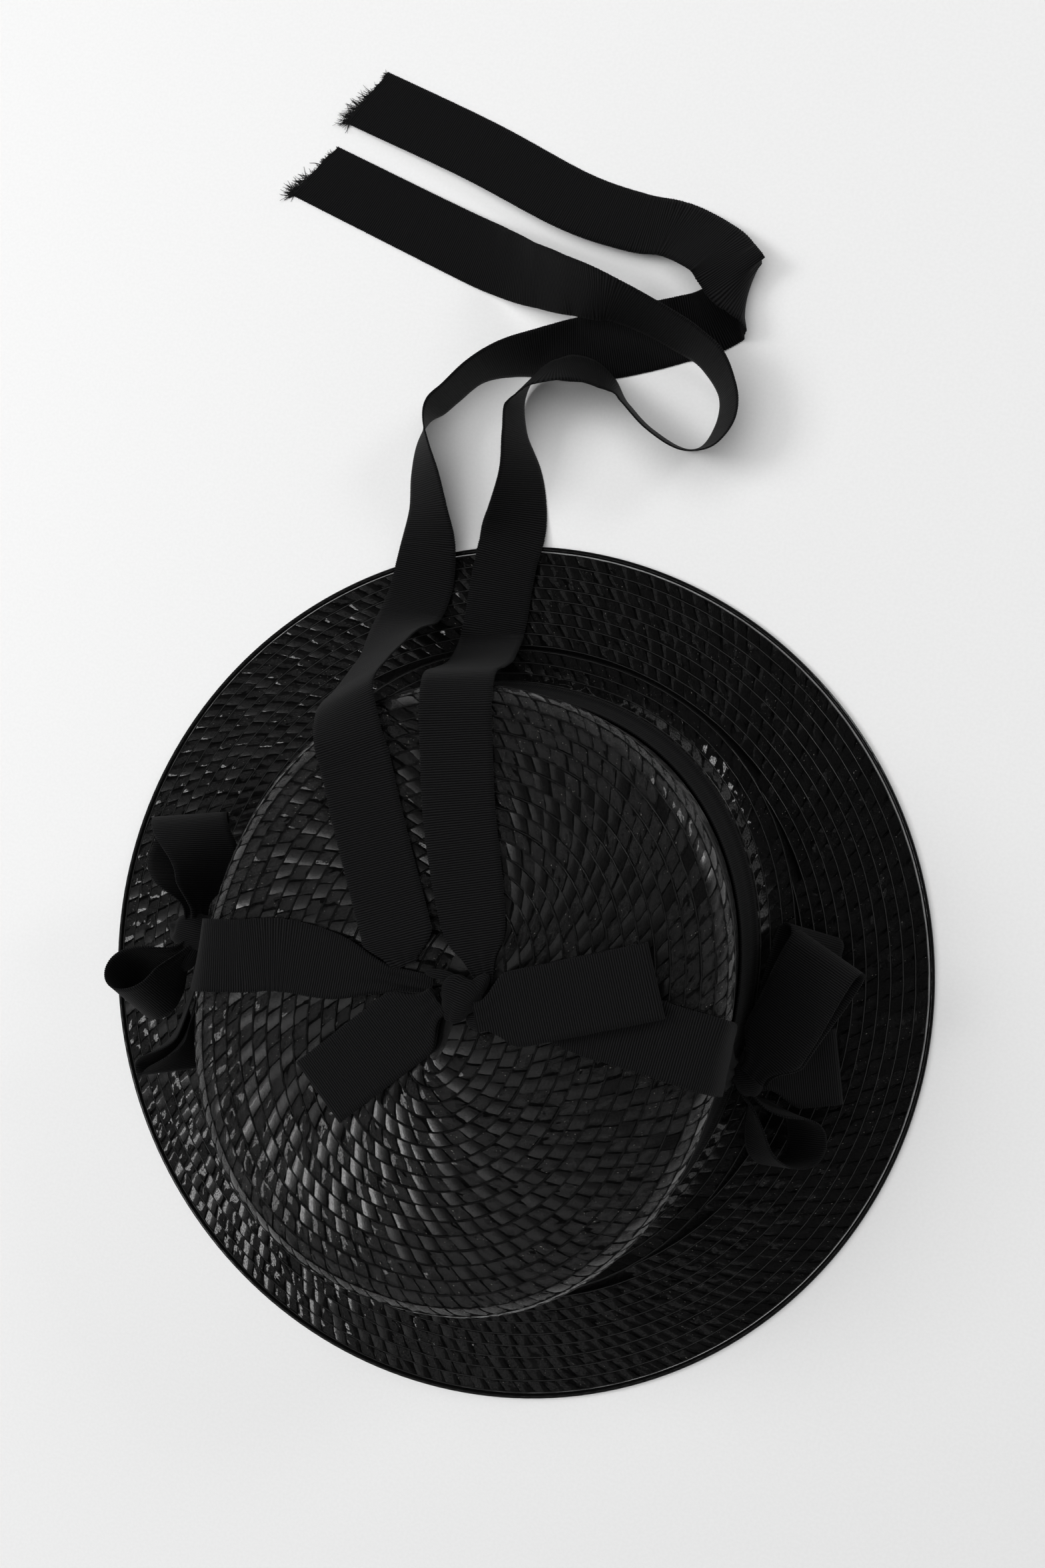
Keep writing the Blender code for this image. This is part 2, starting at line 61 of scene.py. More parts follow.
# The floor is a round of white card that fades out at its rim. A broad ceiling lamp and a key lamp at the
# left light it. The straw mirrors a panel at the left, a small lamp in front of the hat, one beyond its back
# right, and a white room that is bright near the horizon and dark overhead.
class Shade:
    """A socket of a material, so that sums on it read as plain expressions."""

    def __init__(self, tree, socket=None):
        self.tree = tree
        self.socket = socket

    def node(self, kind, settings=None, inputs=None, output=0):
        made = self.tree.nodes.new(kind)
        for name, value in (settings or {}).items():
            setattr(made, name, value)
        for name, value in (inputs or {}).items():
            if isinstance(value, Shade):
                self.tree.links.new(value.socket, made.inputs[name])
            else:
                made.inputs[name].default_value = value
        return Shade(self.tree, made.outputs[output])

    def maths(self, operation, *values):
        return self.node("ShaderNodeMath", {"operation": operation}, dict(enumerate(values)))

    def __add__(self, other):
        return self.maths("ADD", self, other)

    def __mul__(self, other):
        return self.maths("MULTIPLY", self, other)

    def __sub__(self, other):
        return self.maths("SUBTRACT", self, other)

    def __rsub__(self, other):
        return self.maths("SUBTRACT", other, self)

    __radd__ = __add__
    __rmul__ = __mul__

    def part(self, axis):
        return self.node("ShaderNodeSeparateXYZ", None, {0: self}, axis)

    def rise(self, low, high):
        """0 below low, 1 above high, eased between them."""
        return self.node(
            "ShaderNodeMapRange",
            {"interpolation_type": "SMOOTHSTEP"},
            {0: self, 1: low, 2: high, 3: 0.0, 4: 1.0},
        )

    def stretched(self, *sizes):
        return self.node("ShaderNodeMapping", None, {"Vector": self, "Scale": sizes})

    def noise(self, scale, detail=2.0, roughness=0.5):
        inputs = {"Vector": self, "Scale": scale, "Detail": detail, "Roughness": roughness}
        return self.node("ShaderNodeTexNoise", None, inputs)

    def mixed(self, first, second):
        """first where this is 0 and second where it is 1."""
        return self.node(
            "ShaderNodeMix", {"data_type": "RGBA"}, {"Factor": self, 6: (*first, 1), 7: (*second, 1)}, 2
        )

    def bumped(self, depth, strength=1.0, under=None):
        inputs = {"Height": self, "Distance": depth, "Strength": strength}
        if under is not None:
            inputs["Normal"] = under
        return self.node("ShaderNodeBump", None, inputs)

    def into(self, place):
        self.tree.links.new(self.socket, place)


def new_material(name):
    """A material, its shader's sockets and a Shade to start sums from."""
    material = bpy.data.materials.new(name)
    material.use_nodes = True
    return material, material.node_tree.nodes["Principled BSDF"].inputs, Shade(material.node_tree)


FLOOR_HALF = 1.6
FADE_START = 0.7
FADE_END = 1.5
CARD_TONES = ((0.80, 0.80, 0.80), (0.82, 0.82, 0.82))
bpy.ops.mesh.primitive_plane_add(size=2 * FLOOR_HALF, location=(0, 0, 0))
floor = bpy.context.object
floor.name = "floor"
card, sockets, start = new_material("white_card")
place = start.node("ShaderNodeTexCoord", output=3)
far = start.node("ShaderNodeVectorMath", {"operation": "LENGTH"}, {0: place}, 1)
(1 - far.rise(FADE_START, FADE_END)).into(sockets["Alpha"])
place.noise(900).rise(0.3, 0.7).mixed(*CARD_TONES).into(sockets["Base Color"])
sockets["Roughness"].default_value = 0.9
sockets["Specular IOR Level"].default_value = 0.1
floor.data.materials.append(card)
floor.visible_glossy = False

# Each lamp's place, width, power in watts, and whether the straw mirrors it. The glint lamp is only mirrored.
LAMPS = {
    "key_lamp": ((-1.05, 0.10, 1.05), 0.55, 7.0, False),
    "glint_lamp": ((-0.56, -0.56, 1.05), 0.30, 2.0, True),
    "back_lamp": ((0.85, 1.05, 0.75), 0.35, 3.0, True),
    "panel_lamp": ((-0.8, -0.7, 1.5), 1.6, 2.2, True),
    "ceiling_lamp": ((-0.35, 0.25, 2.2), 2.6, 46.0, False),
}
for name, (place, size, power, mirrored) in LAMPS.items():
    lamp = bpy.data.objects.new(name, bpy.data.lights.new(name, "AREA"))
    lamp.data.size = size
    lamp.data.energy = power
    lamp.location = place
    lamp.visible_glossy = mirrored
    lamp.visible_diffuse = name != "glint_lamp"
    lamp.rotation_euler = (-Vector(place)).to_track_quat("-Z", "Y").to_euler()
    bpy.context.collection.objects.link(lamp)
world = bpy.data.worlds.new("room")
world.use_nodes = True
background = world.node_tree.nodes["Background"].inputs
background["Color"].default_value = (1, 1, 1, 1)
ROOM_OVERHEAD = 0.04
ROOM_GLOW = 0.66
GLOW_FULL_BELOW = 0.12
GLOW_GONE_ABOVE = 0.55
height = Shade(world.node_tree).node("ShaderNodeTexCoord").part(2)
glow = 1 - height.rise(GLOW_FULL_BELOW, GLOW_GONE_ABOVE)
(ROOM_OVERHEAD + ROOM_GLOW * glow).into(background["Strength"])
bpy.context.scene.world = world
bpy.context.scene.view_settings.view_transform = "Standard"


# The crown: a long plait of black, glazed straw, sewn round and round on itself from the middle of the tip,
# each row over the next one out, then down over the shoulder and the side. The rows' edges stand up as
# thin cords.

# The oval where the crown is widest, its height, and how it rounds over at the shoulder
CROWN_WIDTH = 0.1746
CROWN_LENGTH = 0.2042
CROWN_HEIGHT = 0.083
CROWN_DOME = 0.0015
SHOULDER_WIDTH = 0.011
SHOULDER_DROP = 0.0095
FLARE_WIDTH = 0.0172
OVAL_POWER = 2.18
STRAW_WALL = 0.0024
# The side from the shoulder down to the brim: how far it stands out beyond the oval, as a share of the
# flare's width, and its height above the brim as a share of the side's
SIDE = np.array((
    (0.00, 1.000), (-0.07, 0.763), (-0.08, 0.559), (-0.06, 0.440), (0.04, 0.305),
    (0.10, 0.210), (0.21, 0.135), (0.40, 0.068), (0.66, 0.025), (1.00, 0.000),
))
# The crown goes into the brim's collar behind the ribbon band
BAND_FOOT = 0.012
RIBBON_WIDTH = 0.0236
SEAM = BAND_FOOT + 0.6 * RIBBON_WIDTH
GAP = 0.0003
# A row of plait, and one flat straw end in it, with its grid of points
CROWN_PITCH = 0.00465
CELL_LENGTH = 0.0056
CELL_SLANT = 0.75
CELL_ALONG = np.linspace(0.045, 0.955, 5)
CELL_ACROSS = np.array((0.03, 0.3, 0.62, 0.88))
CELL_POINTS = len(CELL_ALONG) * len(CELL_ACROSS)
CELL_FACES = (len(CELL_ALONG) - 1) * (len(CELL_ACROSS) - 1)
FEWEST_CELLS = 6
# How deep a straw's edges lie in the skin, how far its middle domes up, and how it tilts and crumples
CELL_SUNK = 0.00045
CELL_DOME = 0.00028
CELL_TILT = 0.001
CELL_CRUMPLE = 0.0007
# A crumpled straw's UVs, in millimetres, start this far on, which is how its finish knows it
CRUMPLED_FROM = 10000
AROUND = 288
luck = np.random.default_rng(7)


def smooth_rows(rows, samples):
    """A smooth curve through the rows, evenly by row number."""
    rows = np.asarray(rows, float)
    padded = np.vstack((2 * rows[0] - rows[1], rows, 2 * rows[-1] - rows[-2]))
    place = np.linspace(0, len(rows) - 1, samples)
    i = np.minimum(place.astype(int), len(rows) - 2)
    t = (place - i)[:, None]
    a, b, c, d = (padded[i + k] for k in range(4))
    return 0.5 * (2 * b + (c - a) * t + (2 * a - 5 * b + 4 * c - d) * t**2 + (3 * b - a - 3 * c + d) * t**3)


def run_length(points):
    """The length along a row of points, from 0 at the first."""
    return np.concatenate(([0], np.cumsum(np.linalg.norm(np.diff(points, axis=0), axis=1))))


def unit(vectors):
    return vectors / np.linalg.norm(vectors, axis=-1, keepdims=True)


def oval(bearing, half_width, half_length, power=2.0):
    """A point of a (super)ellipse at a bearing in degrees, 0 along +X."""
    cos, sin = np.cos(np.radians(bearing)), np.sin(np.radians(bearing))
    x = half_width * np.sign(cos) * np.abs(cos) ** (2 / power)
    y = half_length * np.sign(sin) * np.abs(sin) ** (2 / power)
    return x, y


top_up = CROWN_HEIGHT - CROWN_DOME
turns = np.radians(np.linspace(0, 90, 10))
shoulder_out = -SHOULDER_WIDTH * (1 - np.sin(turns))
shoulder = np.stack((shoulder_out, top_up - SHOULDER_DROP * (1 - np.cos(turns))), axis=1)
side_size = np.array((FLARE_WIDTH, top_up - SHOULDER_DROP - STRAW_WALL))
SIDE_CURVE = smooth_rows(SIDE, 60) * side_size + (0, STRAW_WALL)
PROFILE = np.vstack((shoulder, SIDE_CURVE[1:]))
ALONG = run_length(PROFILE)
tip_half = CROWN_WIDTH / 2 - SHOULDER_WIDTH
tip_steps = np.linspace(0.004, 1, 40)[:-1]
tip = np.stack((tip_half * tip_steps - CROWN_WIDTH / 2, CROWN_HEIGHT - CROWN_DOME * tip_steps**2), axis=1)
CROWN_LINE = np.vstack((tip, PROFILE))
CROWN_ALONG = run_length(CROWN_LINE)
TIP_LENGTH = CROWN_ALONG[-1] - ALONG[-1]


def crown_skin(bearing, along):
    """A point of the crown's outer skin, this far along its profile from the middle of the tip."""
    out, up = (np.interp(along, CROWN_ALONG, column) for column in CROWN_LINE.T)
    x, y = oval(bearing, CROWN_WIDTH / 2 + out, CROWN_LENGTH / 2 + out, OVAL_POWER)
    return np.stack((x, y, up + 0 * x), axis=-1)


def raised(skin, bearing, along, height):
    """A point this high over a skin, square to it."""
    turn, step = 0.4, 0.0004
    down = skin(bearing, along + step) - skin(bearing, along - step)
    round_it = skin(bearing + turn, along) - skin(bearing - turn, along)
    return skin(bearing, along) + unit(np.cross(down, round_it)) * np.asarray(height)[..., None]


class Mesh:
    """Points, faces and their UVs, gathered from grids and made one object at the end."""

    def __init__(self):
        self.points = []
        self.faces = []
        self.uvs = []
        self.slots = []
        self.count = 0

    def grid(self, points, uvs, slot=0, ring=False, flip=False):
        """Rows by columns of points. A ring's last column joins its first, and it has one more of UVs."""
        rows, columns = points.shape[:2]
        i, j = np.indices((rows - 1, columns if ring else columns - 1)).reshape(2, -1)
        this, below, after = i * columns, (i + 1) * columns, (j + 1) % columns
        corners = np.stack((this + j, below + j, below + after, this + after), 1)
        places = np.stack((uvs[i, j], uvs[i + 1, j], uvs[i + 1, j + 1], uvs[i, j + 1]), 1)
        if flip:
            corners, places = corners[:, ::-1], places[:, ::-1]
        self.add(points.reshape(-1, 3), corners, places, slot)

    def add(self, points, corners, places, slot=0):
        self.points.append(points)
        self.faces.append(corners + self.count)
        self.uvs.append(places)
        self.slots.append(np.full(len(corners), slot))
        self.count += len(points)

    def made(self, name, *materials):
        mesh = bpy.data.meshes.new(name)
        faces = np.concatenate(self.faces)
        mesh.from_pydata(np.concatenate(self.points), [], faces.tolist())
        layer = mesh.uv_layers.new(name="laid")
        layer.data.foreach_set("uv", np.concatenate(self.uvs).astype(np.float32).ravel())
        mesh.polygons.foreach_set("material_index", np.concatenate(self.slots).astype(np.int32))
        for material in materials:
            mesh.materials.append(material)
        mesh.shade_smooth()
        mesh.update()
        obj = bpy.data.objects.new(name, mesh)
        bpy.context.collection.objects.link(obj)
        return obj


# A sewn row in section: how far across it, and the height there as a share of the row's relief.
# What stands above CORD_FOOT is the cord at the row's outer edge.
ROW_SECTION = np.array(((0.03, -1.2), (0.45, -1.2), (0.89, -1.2), (0.905, -0.2), (0.935, 0.30), (0.965, 0.0)))
ROW_RELIEF = 0.00034
CORD_FOOT = -0.5


def row_rings(skin, edges, bearings):
    """The rings of the ground under the plait, with the thin cord along the outer edge of each row."""
    found = []
    flat = np.zeros(len(bearings))
    for k, (start, end) in enumerate(zip(edges[:-1], edges[1:])):
        for across, height in ROW_SECTION:
            on_cord = height > CORD_FOOT
            wave = 1 + on_cord * 0.35 * np.sin(bearings * (1.9 + 0.07 * k) + k)
            along = start + (end - start) * (across + on_cord * 0.012 * np.sin(bearings * 1.3 + k))
            points = raised(skin, bearings, along, ROW_RELIEF * height * wave)
            found.append((points, (k + across) * CROWN_PITCH + flat))
    return found


def plait_cells(mesh, skin, start, end, worn):
    """One row of flat straw ends: slanting, slightly domed, each at its own tilt, half of them crumpled."""
    fine = np.linspace(0, 360, 1081)
    round_length = run_length(skin(fine, (start + end) / 2 + 0 * fine))
    count = int(round(round_length[-1] / CELL_LENGTH))
    if count < FEWEST_CELLS:
        return
    # Each straw end has its own slant, place across the row, tilt and crumpling
    each = (count, 1, 1)
    cell = np.arange(count)[:, None, None]
    f, v = CELL_ALONG[None, None, :], CELL_ACROSS[None, :, None]
    skew = luck.normal(0, 0.035, each) + luck.normal(0, 0.02, (count, len(CELL_ACROSS), 1))
    slant = CELL_SLANT * ((end - start) / (round_length[-1] / count))
    u = cell + f + slant * v + skew + luck.uniform(0, 1)
    bearing = np.interp((u % count) / count * round_length[-1], round_length, fine)
    along = start + (end - start) * (v + luck.normal(0, 0.015, each)) + 0 * u
    every_other = (cell + luck.integers(0, 2)) % 2 * (luck.uniform(0, 1, each) < 0.85)
    crumpled = np.maximum(every_other, luck.uniform(0, 1, each) < worn).astype(float)
    dome = 1 - (2 * f - 1) ** 4
    tilt = luck.normal(0, 0.10, each) * (f - 0.5) + luck.normal(0, 0.08, each) * (v - 0.5)
    rough = luck.normal(0, 1, u.shape) * (0.015 + 0.16 * crumpled)
    height = -CELL_SUNK + CELL_DOME * dome * (0.7 + 0.5 * v) + CELL_TILT * tilt + CELL_CRUMPLE * rough * dome
    points = raised(skin, bearing, along, height)
    columns = len(CELL_ALONG)
    i, j = np.indices((len(CELL_ACROSS) - 1, columns - 1)).reshape(2, -1)
    corners = (i * columns + j)[:, None] + (0, columns, columns + 1, 1)
    faces = (cell * CELL_POINTS + corners[None]).reshape(-1, 4)
    own = luck.integers(0, 400, each) + CRUMPLED_FROM / 10 * crumpled
    uv_u = (f + 0 * v) * CELL_LENGTH * 1000 + 10 * own
    uv_v = v * (end - start) * 1000 + 0 * uv_u
    uvs = np.stack((uv_u, uv_v), axis=-1).reshape(count, CELL_POINTS, 2)
    mesh.add(points.reshape(-1, 3), faces, uvs[:, corners].reshape(-1, 4, 2), 1)


def ring_uvs(points, alongs):
    """UVs in millimetres round the ring and along the skin."""
    closed = np.concatenate((points, points[:, :1]), axis=1)
    steps = np.linalg.norm(np.diff(closed, axis=1), axis=2)
    u = np.concatenate((np.zeros((len(points), 1)), np.cumsum(steps, axis=1)), axis=1)
    v = np.concatenate((alongs, alongs[:, :1]), axis=1)
    return np.stack((u, v), axis=-1) * 1000


BLACK_GLAZE = (0.0014, 0.0014, 0.0015)
# A pale straw colour: a little of it gives the glaze uneven tone, and all of it makes the painted glints on
# crumpled straws
STRAW_TONE_AND_GLINT = (0.19, 0.185, 0.17)
# The ground under the straw ends is blacker than their glaze: painted shade in the gaps between them
GAP_SHADE_BLACK = 0.0008


def glazed_straw(name, cells, specular, gloss, cord_painted_light=0.0):
    """Black glaze on the flat straw ends, with fibres and crumpled places, or on the ground under them."""
    material, sockets, start = new_material(name)
    laid = start.node("ShaderNodeUVMap", {"uv_map": "laid"})
    u, v = laid.part(0), laid.part(1)
    fibres = laid.stretched(4.2, 0.45, 1).noise(1.0, 3)
    creases = laid.stretched(2.4, 1.5, 1).noise(1.1, 4, 0.65)
    facets = laid.node(
        "ShaderNodeTexVoronoi",
        {"feature": "F1"},
        {"Vector": laid.stretched(2.3, 1.5, 1), "Scale": 1.0, "Randomness": 1.0},
    )
    if cells:
        crumpled = u.rise(CRUMPLED_FROM - 5, CRUMPLED_FROM + 5)
        soft = 0.06 + 0.94 * crumpled
        relief = (fibres * soft).bumped(0.00012, 0.7)
        relief = (facets * crumpled).bumped(0.00024, 1.0, relief)
        relief = (creases * soft).bumped(0.0007, 1.0, relief)
        worn = (fibres * 0.5 + creases * 0.5).rise(0.35, 0.65)
        # Pale specks on the crumpled straws are painted glints, put into the base colour
        painted_glints = crumpled * laid.stretched(1.9, 1.1, 1).noise(1.0, 2).rise(0.70, 0.74)
        (worn * 0.014 + painted_glints).mixed(BLACK_GLAZE, STRAW_TONE_AND_GLINT).into(sockets["Base Color"])
        (creases.rise(0.42, 0.52) * gloss).into(sockets["Coat Weight"])
    else:
        rows = v * (1 / (CROWN_PITCH * 1000))
        row = rows.maths("FRACT", rows)
        place = u * (1 / (CELL_LENGTH * 1000)) - row * CELL_SLANT
        cell = place.maths("PINGPONG", place, 0.5)
        gaps = cell.rise(0.02, 0.10)
        cords = row.rise(0.885, 0.91) * (1 - row.rise(0.97, 0.99))
        relief = fibres.bumped(0.00010, 0.55)
        relief = (gaps * 0.4 + creases * 0.5).bumped(0.0008, 0.8, relief)
        # The cords' lighter base colour is a painted highlight along the rows' edges
        cords.mixed((GAP_SHADE_BLACK,) * 3, (cord_painted_light,) * 3).into(sockets["Base Color"])
        (cords * gloss).into(sockets["Coat Weight"])
    relief.into(sockets["Normal"])
    (0.10 + 0.22 * creases).into(sockets["Roughness"])
    sockets["Specular IOR Level"].default_value = specular
    sockets["Coat Roughness"].default_value = 0.06
    return material


straw_ground = glazed_straw("straw_ground", False, 0.12, 0.35, 0.003)
straw_cells = glazed_straw("straw_cells", True, 0.5, 0.45)
bearings = np.linspace(0, 360, AROUND, endpoint=False)


def lined(skin, bearings, alongs, depth):
    """The inner wall: the skin pushed in by its thickness, from the last ring back to the first."""
    found = []
    for along in alongs[::-1]:
        place = along + 0 * bearings
        found.append((raised(skin, bearings, place, -depth + 0 * bearings), place))
    return found


def shell(mesh, rings):
    points = np.array([points for points, along in rings])
    alongs = np.array([along for points, along in rings])
    mesh.grid(points, ring_uvs(points, alongs), ring=True)


seam_along = TIP_LENGTH + np.interp(-SEAM - GAP, -PROFILE[:, 1], ALONG)
TIP_START = 0.0016
row_count = int((seam_along - TIP_START) / CROWN_PITCH)
crown_edges = seam_along - CROWN_PITCH * np.arange(row_count, -1, -1)
crown = Mesh()
outer = row_rings(crown_skin, crown_edges, bearings)
inner = lined(crown_skin, bearings, np.linspace(crown_edges[0], seam_along, 30), STRAW_WALL)
shell(crown, outer + inner)
for (last_ring, along), upwards in ((outer[0], True), (inner[-1], False)):
    middle = np.repeat(last_ring.mean(axis=0)[None], AROUND, axis=0)
    points = np.stack((middle, last_ring))
    places = ring_uvs(points, np.stack((along * 0, along)))
    crown.grid(points, places, int(upwards), ring=True, flip=not upwards)
for start, end in zip(crown_edges[:-1], crown_edges[1:]):
    on_shoulder = TIP_LENGTH - 0.004 < end < TIP_LENGTH + 0.024
    plait_cells(crown, crown_skin, start, end, 0.85 if on_shoulder else 0.12)
crown_piece = crown.made("straw_crown", straw_ground, straw_cells)
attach(crown_piece, "root")
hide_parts("crown")


# The brim: the same plait, sewn in rows that keep to the outer edge, with a collar that turns up
# behind the band and a hollow flare at its foot.
BRIM_WIDTH = 0.3084
BRIM_LENGTH = 0.3156
BRIM_PITCH = 0.00428
EDGE_WIDTH = 0.0018
EDGE_HEIGHT = 0.0028
# How wide the flat brim gets, from the flare to the edge row
BRIM_SPAN = 0.0497
FLARE_HALF = np.array((CROWN_WIDTH / 2 + FLARE_WIDTH, CROWN_LENGTH / 2 + FLARE_WIDTH))
RIM_HALF = np.array((BRIM_WIDTH / 2, BRIM_LENGTH / 2)) - EDGE_WIDTH - GAP


def brim_run(bearing):
    """The flat brim's inner end at a bearing, and the way and the distance from it to the edge row."""
    inner = np.stack(oval(bearing, *FLARE_HALF, OVAL_POWER), axis=-1)
    way = np.stack(oval(bearing, *RIM_HALF), axis=-1) - inner
    return inner, way, np.linalg.norm(way, axis=-1)


def brim_skin(bearing, along):
    """A point of the flat brim's upper side: along is 0 where the edge row starts, and falls inwards."""
    inner, way, span = brim_run(bearing)
    share = 1 + along / span
    return np.concatenate((inner + way * share[..., None], np.full((*share.shape, 1), STRAW_WALL)), axis=-1)


brim_rows = int(BRIM_SPAN / BRIM_PITCH) + 1
brim_edges = -BRIM_PITCH * np.arange(brim_rows, -1, -1)
span = brim_run(bearings)[2]
brim = Mesh()
flare_end = CROWN_ALONG[-1]
flare_rows = int((flare_end - seam_along) / CROWN_PITCH)
flare_edges = flare_end - CROWN_PITCH * np.arange(flare_rows, -1, -1)
flare_edges[0] = seam_along
collar = row_rings(crown_skin, flare_edges, bearings)
# The rows follow the brim's outer edge, so the inner ones run out at the flare. There their rings lie this
# far apart along the flare's foot.
RING_STEP = 0.00001
flat = []
for k, (start, end) in enumerate(zip(brim_edges[:-1], brim_edges[1:])):
    for across, height in ROW_SECTION:
        on_cord = height > CORD_FOOT
        along = start + (end - start) * across + on_cord * 0.00005 * np.sin(bearings * 1.3 + k)
        inside = along < -span
        along = np.where(inside, -span + RING_STEP * (len(flat) + 1), along)
        lift = np.where(inside, CORD_FOOT, height * (1 + 0.3 * np.sin(bearings * (1.9 + 0.07 * k)) * on_cord))
        points = raised(brim_skin, bearings, along, ROW_RELIEF * lift)
        flat.append((points, (k + across) * CROWN_PITCH + 0 * bearings))
rim_along = brim_edges[-1] - 0.0002
UNDER_LIFT = 0.00015
under = []
for share in np.linspace(0, 1, 14):
    place = -span * share + rim_along * (1 - share)
    under.append((raised(brim_skin, bearings, place, UNDER_LIFT - STRAW_WALL + 0 * bearings), place))
inner = lined(crown_skin, bearings, np.linspace(seam_along, flare_end - 0.001, 12), STRAW_WALL)
shell(brim, collar + flat + under + inner + collar[:1])
for start, end in zip(flare_edges[:-1], flare_edges[1:]):
    plait_cells(brim, crown_skin, start, end, 0.7)
for start, end in zip(brim_edges[:-1], brim_edges[1:]):
    plait_cells(brim, brim_skin, start, end, 0.35)
    # Straws of the inner rows that would lie on the flare are left out
    places = np.abs(brim.points[-1].reshape(-1, CELL_POINTS, 3)[..., :2])
    beyond = ((places / FLARE_HALF) ** OVAL_POWER).sum(axis=-1) ** (1 / OVAL_POWER)
    keep = np.repeat((beyond > 0.998).all(axis=1), CELL_FACES)
    for parts in (brim.faces, brim.uvs, brim.slots):
        parts[-1] = parts[-1][keep]
# The brim's cords are painted lighter than the crown's, as a stronger highlight
brim_ground = glazed_straw("brim_ground", False, 0.12, 0.9, 0.02)
brim_cells = glazed_straw("brim_cells", True, 0.15, 0.8)
brim_piece = brim.made("straw_brim", brim_ground, brim_cells)
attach(brim_piece, "root")
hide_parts("brim")


# The edge row: a last, narrow plait folded over the brim's outer edge, where it hides the end of the brim's
# last row. It is sewn on all round, in small even lumps.
EDGE_AROUND = 720
EDGE_STITCHES = 200
EDGE_SIDES = 12
LUMP = 0.10


def fuller(share):
    """A sine or cosine pushed outwards, which turns a round section into one with fuller corners."""
    return np.sign(share) * abs(share) ** 0.7


edge = Mesh()
edge_bearings = np.linspace(0, 360, EDGE_AROUND, endpoint=False)
lumps = 1 + LUMP * np.abs(np.sin(np.radians(edge_bearings) * EDGE_STITCHES / 2))
rings = []
for turn in np.linspace(0, 2 * np.pi, EDGE_SIDES, endpoint=False):
    out = -EDGE_WIDTH / 2 + EDGE_WIDTH / 2 * fuller(np.cos(turn))
    x, y = oval(edge_bearings, BRIM_WIDTH / 2 + out, BRIM_LENGTH / 2 + out)
    up = EDGE_HEIGHT / 2 + EDGE_HEIGHT / 2 * fuller(np.sin(turn)) * lumps / (1 + LUMP)
    rings.append((np.stack((x, y, up), axis=-1), np.full(EDGE_AROUND, turn * 0.0008)))
shell(edge, rings[::-1] + rings[-1:])
edge_piece = edge.made("straw_edge", brim_cells)
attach(edge_piece, "root")
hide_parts("brim_edge")


# The hat band: black grosgrain ribbon, with ribs across it and looped selvedges, stretched round the crown's
# foot, where it covers the seam of crown and brim.
RIB_PITCH = 0.00077
RIB_SAMPLES = 3
TOOTH = 0.00015
CLOTH_THICK = 0.0005
RIBBON_SHARES = np.linspace(-1, 1, 13)
MIDDLE_COLUMN = len(RIBBON_SHARES) // 2
# The ribbon's black in the grooves between the ribs is painted darker as shade, and on the rib tops lighter
# as light
GROOVE_SHADE_BLACK = (0.0010, 0.0010, 0.0011)
RIB_TOP_LIT_BLACK = (0.0086, 0.0086, 0.0090)


def ribbed_ribbon(name):
    """Grosgrain: UVs give the share across from -1 to 1, and the millimetres along the ribbon."""
    material, sockets, start = new_material(name)
    laid = start.node("ShaderNodeUVMap", {"uv_map": "laid"})
    across, along = laid.part(0), laid.part(1)
    wander = laid.stretched(1.2, 0.35, 1).noise(1.0) * 0.35
    phase = (along + wander) * (2 * math.pi / (RIB_PITCH * 1000))
    ribs = phase.maths("SINE", phase) * 0.5 + 0.5
    threads = laid.stretched(55, 0.9, 1).noise(1.0, 2)
    fuzz = laid.stretched(26, 2.6, 1).noise(1.0, 3)
    hem = across.maths("ABSOLUTE", across).rise(0.955, 0.985)
    specks = laid.stretched(30, 1.6, 1).noise(1.0, 1).rise(0.56, 0.70)
    relief = (ribs * 0.7 + threads * 0.45).bumped(0.00020, 0.8)
    relief = fuzz.bumped(0.00010, 0.5, relief)
    relief.into(sockets["Normal"])
    # The grooves are painted darker and the rib tops lighter, as painted shade and light. The fuzz varies the
    # tone at random, and pale specks lie along the selvedges
    rib_shade_and_tone = (ribs * 0.75 + fuzz * 0.35).rise(0.15, 0.95) + hem * specks * 0.9
    rib_shade_and_tone = rib_shade_and_tone.node("ShaderNodeClamp", None, {0: rib_shade_and_tone})
    rib_shade_and_tone.mixed(GROOVE_SHADE_BLACK, RIB_TOP_LIT_BLACK).into(sockets["Base Color"])
    sockets["Roughness"].default_value = 0.8
    sockets["Specular IOR Level"].default_value = 0.12
    sockets["Sheen Weight"].default_value = 0.02
    sockets["Sheen Roughness"].default_value = 0.4
    return material


grosgrain = ribbed_ribbon("grosgrain")


def cloth(name, middles, alongs, ring=False):
    """A ribbon as a thin closed mesh from a grid of points in its middle surface, rows along it.
    A ring has its first row again as its last, so its two ends meet."""
    down = np.gradient(middles, axis=0)
    if ring:
        down[0] = down[-1] = middles[1] - middles[-2]
    normals = unit(np.cross(np.gradient(middles, axis=1), down))
    uvs = np.stack(np.broadcast_arrays(RIBBON_SHARES, alongs[:, None] * 1000), axis=-1)
    upper, lower = middles + normals * CLOTH_THICK / 2, middles - normals * CLOTH_THICK / 2
    around = np.concatenate((upper, lower[:, ::-1], upper[:, :1]), axis=1)
    around_uvs = np.concatenate((uvs, uvs[:, ::-1], uvs[:, :1]), axis=1)
    mesh = Mesh()
    mesh.grid(around, around_uvs, flip=True)
    if not ring:
        for row, flip in ((0, True), (-1, False)):
            mesh.grid(np.stack((upper[row], lower[row])), np.stack((uvs[row], uvs[row])), flip=flip)
    piece = mesh.made(name, grosgrain)
    shape = bmesh.new()
    shape.from_mesh(piece.data)
    bmesh.ops.remove_doubles(shape, verts=shape.verts, dist=1e-6)
    shape.to_mesh(piece.data)
    shape.free()
    return piece


def hat_line(up):
    """How far the hat's side stands out beyond the crown's oval at this height."""
    return np.interp(-up, -PROFILE[:, 1], PROFILE[:, 0])


